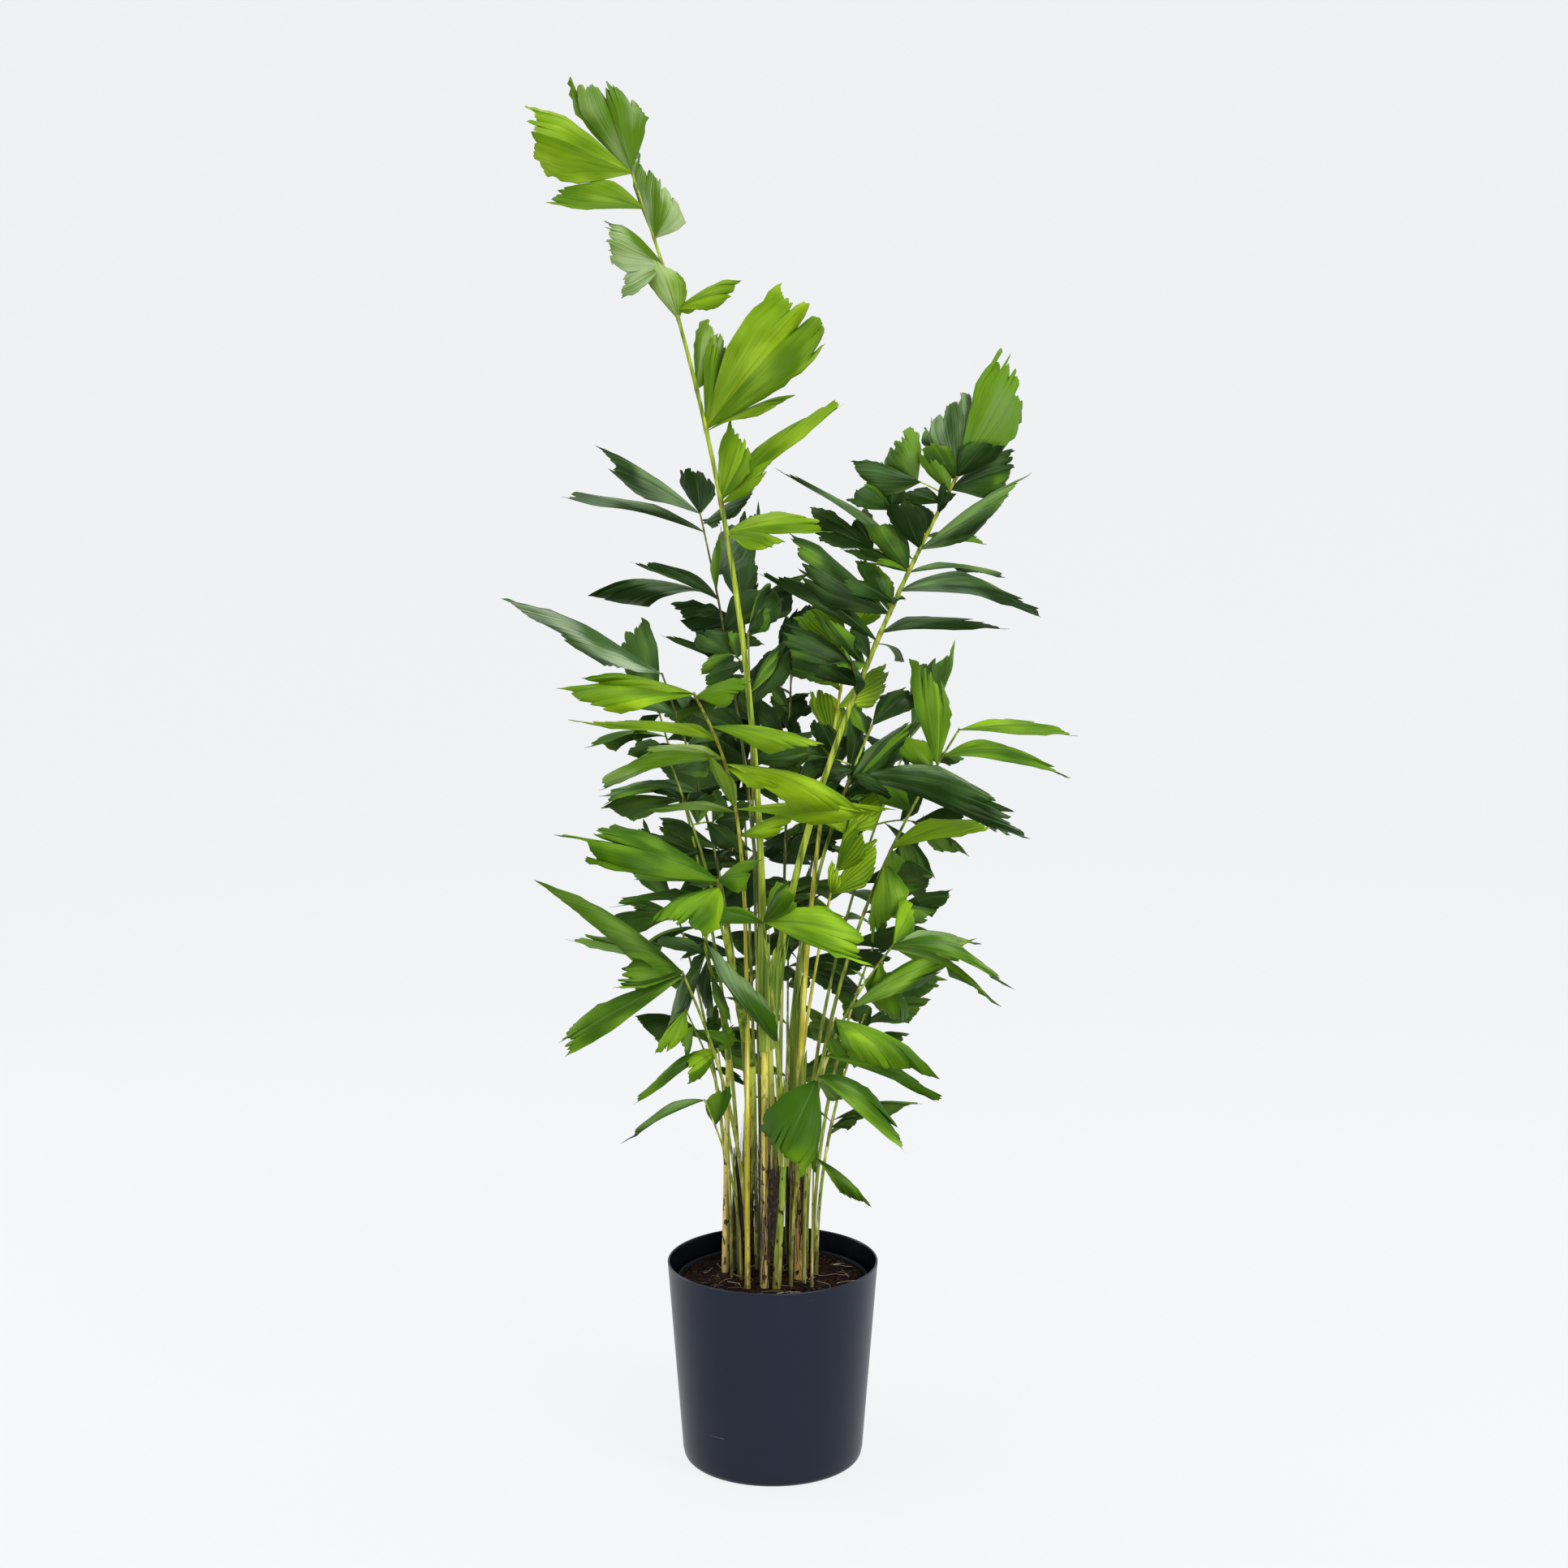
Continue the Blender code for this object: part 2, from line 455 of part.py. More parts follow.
# Limbs that come too close are pushed apart, level by level, while their feet and tips stay.
def spread_limbs(limbs):
    names = list(limbs)
    for _ in range(RELAX_ROUNDS):
        moved = 0.0
        for first_index, first_name in enumerate(names):
            first = limbs[first_name]
            for second_name in names[first_index + 1:]:
                second = limbs[second_name]
                joined = second.get("on") == first_name
                for point in second["path"]:
                    if point.z < first["path"][0].z or point.z > first["path"][-1].z or joined:
                        continue
                    other = point_at(first, point.z)
                    apart = Vector((point.x - other.x, point.y - other.y, 0.0))
                    need = radius_at(first, point.z) + radius_at(second, point.z) + LIMB_GAP
                    if apart.length >= need:
                        continue
                    push = apart.normalized() * (need - apart.length)
                    moved = max(moved, push.length)
                    if point is not second["path"][0]:
                        point += push * 0.5
                    for place in first["path"][1:]:
                        if abs(place.z - point.z) <= LEVEL_STEP * 0.75:
                            place -= push * 0.5
        for limb in limbs.values():
            path = limb["path"]
            for index in range(1, len(path) - 1):
                middle = (path[index - 1] + path[index + 1]) * 0.5
                path[index].x += (middle.x - path[index].x) * 0.15
                path[index].y += (middle.y - path[index].y) * 0.15
        if moved < 0.00005:
            break
    return moved


# A tube of a few sides: a ring of points square to the path at every few levels.
def tube(limb, sides, ring_step, swell):
    path = limb["path"]
    rings = max(2, round((path[-1].z - path[0].z) / ring_step)) + 1
    points = []
    for index in range(rings):
        height = path[0].z + (path[-1].z - path[0].z) * index / (rings - 1)
        middle = point_at(limb, height)
        ahead = point_at(limb, height + LEVEL_STEP) - point_at(limb, height - LEVEL_STEP)
        ahead.normalize()
        if index in (0, rings - 1):
            ahead = Vector((0.0, 0.0, 1.0))
        across = ahead.cross(Vector((0.0, 1.0, 0.0))).normalized()
        upward = across.cross(ahead).normalized()
        radius = radius_at(limb, height) + swell
        for side in range(sides):
            angle = 2.0 * math.pi * (side + 0.5) / sides
            points.append(middle + across * (radius * math.cos(angle)) - upward * (radius * math.sin(angle)))
    faces = []
    for index in range(rings - 1):
        for side in range(sides):
            after = (side + 1) % sides
            low = index * sides
            high = low + sides
            faces.append((low + side, low + after, high + after, high + side))
    faces.append(tuple(reversed(range(sides))))
    faces.append(tuple(range((rings - 1) * sides, rings * sides)))
    return points, faces


# The blade's own directions: along it, across it, and out of its upper face.
def leaf_frame(reach, towards, turn):
    along = reach.normalized()
    angle = math.radians(turn)
    looks = Vector((0.0, 0.0, math.cos(angle))) + towards * math.sin(angle)
    across = looks.cross(along).normalized()
    return along, across, along.cross(across)


# A point of the blade's middle surface: u runs from the root to the end, v from margin to margin.
def leaf_point(leaf, u, v, end):
    along, across, face = leaf["frame"]
    length = leaf["length"]
    stretch = 1.0 + leaf["slant"] * v - LEAF_ROUND * v * v
    opened = LEAF_ROOT_SHARE + (1.0 - LEAF_ROOT_SHARE) * min(1.0, u / LEAF_FULL_WIDTH)
    narrowed = 1.0 - LEAF_END_TAPER * max(0.0, u - LEAF_FULL_WIDTH) / (1.0 - LEAF_FULL_WIDTH)
    half = leaf["width"] * 0.5 * opened * narrowed
    rise = leaf["arch"] * length * 4.0 * u * (1.0 - u) - LEAF_CUP * leaf["width"] * u * v * v
    place = along * (length * u * stretch * end) + across * (half * v * leaf["side"]) + face * rise
    return leaf["root"] + place


# The leaflet's solid: thick along its middle, sharp at its margins, with a notched end.
def leaf_solid(leaf, swell):
    columns = leaf["columns"]
    thick = max(LEAF_THICKNESS, LEAF_THICKNESS_SHARE * leaf["length"]) * 0.5 + swell
    along, across, face = leaf["frame"]
    root_half = min(LEAF_ROOT_HALF_WIDTH, leaf["width"] * LEAF_ROOT_SHARE) + swell
    side = across * (root_half * leaf["side"])
    points = []
    for corner in (-1.0, 1.0):
        for level in (1.0, -1.0):
            points.append(leaf["root"] + side * corner + face * (thick * 0.75 * level))
    middle = []
    for index in range(columns + 1):
        v = -1.0 + 2.0 * index / columns
        place = leaf_point(leaf, LEAF_MIDDLE, v, 1.0)
        if index in (0, columns):
            place += across * (swell * leaf["side"] * v)
            middle.append((len(points), len(points)))
            points.append(place)
        else:
            middle.append((len(points), len(points) + 1))
            points.append(place + face * thick)
            points.append(place - face * thick)
    ends = []
    for index in range(2 * columns + 1):
        v = -1.0 + index / columns
        if index == 1:
            v += LEAF_NOTCH_INWARD / columns
        elif index == 2 * columns - 1:
            v -= LEAF_NOTCH_INWARD / columns
        cut = leaf["teeth"][index]
        ends.append(len(points))
        points.append(leaf_point(leaf, 1.0, v, cut) + along * swell)
    faces = []
    for level in (0, 1):
        sheet = []
        low = level
        high = 2 + level
        half_way = columns // 2
        for index in range(columns):
            root = low if index < half_way else high
            sheet.append((root, middle[index][level], middle[index + 1][level]))
        sheet.append((low, middle[half_way][level], high))
        for index in range(columns):
            near = middle[index][level]
            far = middle[index + 1][level]
            before, notch, after = ends[2 * index:2 * index + 3]
            sheet.append((far if index == 0 else near, before, notch))
            sheet.append((near if index == columns - 1 else far, notch, after))
            if index == 0:
                sheet.append((near, before, far))
            elif index == columns - 1:
                sheet.append((near, after, far))
            else:
                sheet.append((near, notch, far))
        flip = (level == 1) != (leaf["side"] < 0.0)
        for corners in sheet:
            faces.append(tuple(reversed(corners)) if flip else corners)
    walls = [
        (0, 1, middle[0][0]),
        (3, 2, middle[columns][0]),
        (0, 2, 3),
        (0, 3, 1),
    ]
    for corners in walls:
        faces.append(tuple(reversed(corners)) if leaf["side"] < 0.0 else corners)
    return points, faces


def make_leaf(root, reach, width, turn, arch, towards, dice):
    leaf = dict(root=root, reach=reach, length=reach.length, width=abs(width), arch=arch)
    leaf["side"] = 1.0 if width > 0.0 else -1.0
    leaf["turn"] = turn
    leaf["slant"] = LEAF_SLANT
    leaf["towards"] = towards
    leaf["frame"] = leaf_frame(reach, towards, turn)
    if leaf["width"] > 0.06:
        leaf["columns"] = 4
    elif leaf["width"] > 0.045:
        leaf["columns"] = 3
    else:
        leaf["columns"] = 2
    teeth = []
    for index in range(2 * leaf["columns"] + 1):
        notch = LEAF_NOTCH if index % 2 else 0.0
        teeth.append(1.0 - notch * dice.uniform(0.6, 1.3) - dice.uniform(0.0, 0.04))
    leaf["teeth"] = teeth
    return leaf


# The leaves that a frond asks for, before any is turned or left out.
def wanted_leaves(name, limb):
    dice = random.Random(FAR_SEED + sum(ord(letter) for letter in name))
    viewer = Vector((0.0, -1.0, 0.0))
    leaves = []
    if name in FRONDS:
        for height, right, back, up, width, turn, arch, *slant in FRONDS[name]["leaves"]:
            root = point_at(limb, height * CM)
            reach = Vector((right, back, up)) * CM
            leaf = make_leaf(root, reach, width * CM, turn, arch * 0.01, viewer, dice)
            if slant:
                leaf["slant"] = slant[0]
            leaves.append(leaf)
        return leaves
    foot, tip, _, pairs, length, width, _ = FAR_FRONDS[name]
    low = limb["path"][0].z
    high = limb["path"][-1].z
    outward = Vector((tip[0] - foot[0], tip[1] - foot[1], 0.0)).normalized()
    beside = Vector((-outward.y, outward.x, 0.0))
    for index in range(pairs):
        share = FAR_BARE_SHARE + (FAR_LAST_PAIR - FAR_BARE_SHARE) * index / (pairs - 1)
        for hand in (-1.0, 1.0):
            height = low + (high - low) * (share + dice.uniform(-0.02, 0.02))
            root = point_at(limb, height)
            heading = beside * (hand * dice.uniform(0.7, 1.0)) + outward * dice.uniform(0.1, 0.6)
            heading.z = dice.uniform(-0.15, 0.45)
            size = length * CM * dice.uniform(0.8, 1.1) * (1.0 - 0.2 * index / pairs)
            reach = heading.normalized() * size
            broad = width * CM * dice.uniform(0.8, 1.15) * hand
            turn = dice.uniform(20.0, 65.0)
            leaves.append(make_leaf(root, reach, broad, turn, dice.uniform(0.06, 0.18), outward, dice))
    reach = (outward * dice.uniform(0.4, 0.9) + Vector((0.0, 0.0, 0.8))).normalized() * length * CM
    root = limb["path"][-1].copy()
    leaves.append(make_leaf(root, reach, width * 1.2 * CM, 60.0, 0.06, outward, dice))
    return leaves


# The ways a leaf is tried: as it is, then with its face turned, its heading swung, tipped, shortened.
def leaf_tries(leaf):
    yield leaf
    changes = []
    for size in LEAF_SIZES:
        for swing in LEAF_SWINGS:
            for lift in LEAF_LIFTS:
                for twist in LEAF_TWISTS:
                    effort = abs(swing) / LEAF_SWINGS[1] + abs(lift) / LEAF_LIFTS[1]
                    effort += abs(twist) / LEAF_TWISTS[1] + (1.0 - size) * 8.0
                    changes.append((effort, size, swing, lift, twist))
    changes.sort(key=lambda change: change[0])
    for _, size, swing, lift, twist in changes[1:]:
        tried = dict(leaf)
        reach = leaf["reach"].copy()
        reach.z += lift * leaf["length"]
        reach = reach.normalized() * (leaf["length"] * size)
        reach.rotate(Matrix.Rotation(math.radians(swing), 3, "Z"))
        tried["reach"] = reach
        tried["length"] = reach.length
        tried["width"] = leaf["width"] * (0.5 + 0.5 * size)
        tried["frame"] = leaf_frame(reach, leaf["towards"], leaf["turn"] + twist)
        yield tried


def low_and_high(points):
    low = [min(point[axis] for point in points) for axis in range(3)]
    high = [max(point[axis] for point in points) for axis in range(3)]
    return low, high


def boxes_meet(first, second):
    for axis in range(3):
        if first[0][axis] > second[1][axis] or second[0][axis] > first[1][axis]:
            return False
    return True


def tested(points, faces):
    return BVHTree.FromPolygons([tuple(point) for point in points], faces), low_and_high(points)


# Each leaf is kept where it touches no limb and no leaf of another frond.
def place_leaves(limbs):
    held = []
    for name, limb in limbs.items():
        sides = CANE_SIDES if limb["cane"] else STALK_SIDES
        step = CANE_RING_STEP if limb["cane"] else STALK_RING_STEP
        points, faces = tube(limb, sides, step, TEST_SWELL)
        held.append((name, *tested(points, faces)))
    grown = {}
    skipped = 0
    for name in [*FRONDS, *FAR_FRONDS]:
        kept = []
        for leaf in wanted_leaves(name, limbs[name]):
            for tried in leaf_tries(leaf):
                points, faces = leaf_solid(tried, TEST_SWELL)
                tree, box = tested(points, faces)
                if box[0][2] < LOWEST_LEAF_TIP:
                    continue
                clear = True
                for owner, other, other_box in held:
                    if owner != name and boxes_meet(box, other_box) and tree.overlap(other):
                        clear = False
                        break
                if clear:
                    kept.append(tried)
                    held.append((name, tree, box))
                    break
            else:
                skipped += 1
        grown[name] = kept
    print("leaves kept", sum(len(kept) for kept in grown.values()), "skipped", skipped)
    return grown


def keep_largest_body(item):
    mesh_data = bmesh.new()
    mesh_data.from_mesh(item.data)
    unseen = set(mesh_data.verts)
    bodies = []
    while unseen:
        start = unseen.pop()
        body = {start}
        edge_of_search = [start]
        while edge_of_search:
            vertex = edge_of_search.pop()
            for edge in vertex.link_edges:
                other = edge.other_vert(vertex)
                if other in unseen:
                    unseen.remove(other)
                    body.add(other)
                    edge_of_search.append(other)
        bodies.append(body)
    bodies.sort(key=len, reverse=True)
    loose = [vertex for body in bodies[1:] for vertex in body]
    bmesh.ops.delete(mesh_data, geom=loose, context="VERTS")
    mesh_data.to_mesh(item.data)
    mesh_data.free()
    return len(bodies) - 1


# One union joins a frond's leaves to its stalk, and the loose leaves are then removed.
def make_frond(name, limb, leaves):
    points, faces = tube(limb, STALK_SIDES, STALK_RING_STEP, 0.0)
    stalk = add_object(name, points, faces, limb["tone"])
    group = bpy.data.collections.new(name + "_leaves")
    bpy.context.scene.collection.children.link(group)
    for index, leaf in enumerate(leaves):
        blade_points, blade_faces = leaf_solid(leaf, 0.0)
        mesh = bpy.data.meshes.new(name + "_leaf_" + str(index))
        mesh.from_pydata([tuple(point) for point in blade_points], [], blade_faces)
        blade = bpy.data.objects.new(mesh.name, mesh)
        group.objects.link(blade)
    join = stalk.modifiers.new("join", "BOOLEAN")
    join.operation = "UNION"
    join.solver = "EXACT"
    join.operand_type = "COLLECTION"
    join.collection = group
    view = bpy.context.evaluated_depsgraph_get()
    joined = bpy.data.meshes.new_from_object(stalk.evaluated_get(view))
    stalk.modifiers.clear()
    stalk.data = joined
    for blade in list(group.objects):
        bpy.data.objects.remove(blade)
    bpy.data.collections.remove(group)
    scraps = keep_largest_body(stalk)
    smooth(stalk, 35.0)
    if scraps:
        print(name, "scraps dropped", scraps)


def make_cane(name, limb):
    points, faces = tube(limb, CANE_SIDES, CANE_RING_STEP, 0.0)
    smooth(add_object(name, points, faces, limb["tone"]), 50.0)


def main():
    clear_scene()
    make_pot()
    make_liner()
    make_soil()
    limbs = plan_limbs()
    print("last push between limbs", spread_limbs(limbs))
    grown = place_leaves(limbs)
    for name, limb in limbs.items():
        if limb["cane"]:
            make_cane(name, limb)
        else:
            make_frond(name, limb, grown[name])


main()
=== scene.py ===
# Potted fishtail palm: fine leaflets, stalks, canes, soil and pot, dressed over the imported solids.
# Metres, +Z up, the pictured side towards -Y. The plant's own tables are in centimetres.

import math
import random

import bpy
import numpy as np
from mathutils import Matrix, Vector
from mathutils.bvhtree import BVHTree


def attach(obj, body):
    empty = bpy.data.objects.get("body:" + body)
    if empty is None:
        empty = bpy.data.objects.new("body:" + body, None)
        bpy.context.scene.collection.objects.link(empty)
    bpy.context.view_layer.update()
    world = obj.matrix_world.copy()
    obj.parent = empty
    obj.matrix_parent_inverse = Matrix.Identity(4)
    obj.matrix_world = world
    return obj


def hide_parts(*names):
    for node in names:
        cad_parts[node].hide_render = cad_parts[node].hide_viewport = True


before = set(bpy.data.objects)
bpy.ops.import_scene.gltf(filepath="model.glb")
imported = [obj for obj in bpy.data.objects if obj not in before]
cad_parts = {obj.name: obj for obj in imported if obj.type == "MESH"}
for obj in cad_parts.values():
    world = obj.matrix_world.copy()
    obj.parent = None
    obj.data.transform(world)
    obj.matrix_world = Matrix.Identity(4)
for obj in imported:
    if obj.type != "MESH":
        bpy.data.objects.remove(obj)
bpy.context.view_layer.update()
print("frame loaded:", len(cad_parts), "nodes")

cm = 0.01
clearance = 0.0003  # metres between pieces that would touch


# the plan of the plant, by the same rules as its solids

potPlan = dict(height=0.264, rimRadius=0.135, footRadius=0.115, footRounding=0.011, wall=0.0026, floor=0.004)
linerPlan = dict(height=0.2405, rimRadius=0.1215, footRadius=0.098, wall=0.0018, lip=0.0022)
soilTop = 0.236
potSlope = (potPlan["rimRadius"] - potPlan["footRadius"]) / potPlan["height"]

limbPlan = dict(
    levelStep=0.02, gap=0.0009, rounds=80, caneSides=9, caneStep=0.055, stalkSides=4, stalkStep=0.07,
)
leafPlan = dict(
    thickness=0.0019, thicknessShare=0.011, rootHalf=0.0016, middle=0.56, fullWidth=0.70,
    slant=0.17, round=0.10, notch=0.11, notchInward=0.5, cup=0.10, rootShare=0.08, endTaper=0.10,
    sizes=(1.0, 0.88, 0.75), swings=(0.0, 9.0, -9.0, 20.0, -20.0), lifts=(0.0, 0.14, -0.14, 0.3),
    twists=(0.0, 18.0, -18.0), swell=0.0007, lowestTip=0.285, broader=(0.045, 0.06), notches=(0.6, 1.3),
    uneven=0.04,
)

# canes: foot (right, back), top (right, back, up), radius at the foot and the top
canes = {
    "cane_yellow": dict(foot=(-1.0, -3.0), top=(-1.0, -2.6, 54.5), radii=(0.58, 0.42)),
    "cane_broad": dict(foot=(-3.7, 5.6), top=(-2.7, -0.2, 52.0), radii=(1.00, 0.62)),
    "cane_tan": dict(foot=(-6.2, 3.0), top=(-5.7, 3.0, 52.0), radii=(0.45, 0.32)),
    "cane_spotted": dict(foot=(0.5, -3.5), top=(1.4, -4.2, 40.0), radii=(0.60, 0.38)),
    "cane_orange": dict(foot=(3.6, 0.5), top=(3.3, 0.4, 40.0), radii=(0.88, 0.42)),
    "cane_core": dict(foot=(0.6, 1.5), top=(-0.4, 1.0, 54.0), radii=(0.66, 0.46)),
    "cane_rear": dict(foot=(-1.2, 6.4), top=(-1.0, 6.2, 50.0), radii=(0.70, 0.42)),
    "cane_rear_right": dict(foot=(2.5, 6.6), top=(2.6, 6.4, 47.0), radii=(0.62, 0.40)),
    "cane_stub": dict(foot=(-4.9, 4.0), top=(-4.6, 4.0, 41.0), radii=(0.60, 0.12)),
}

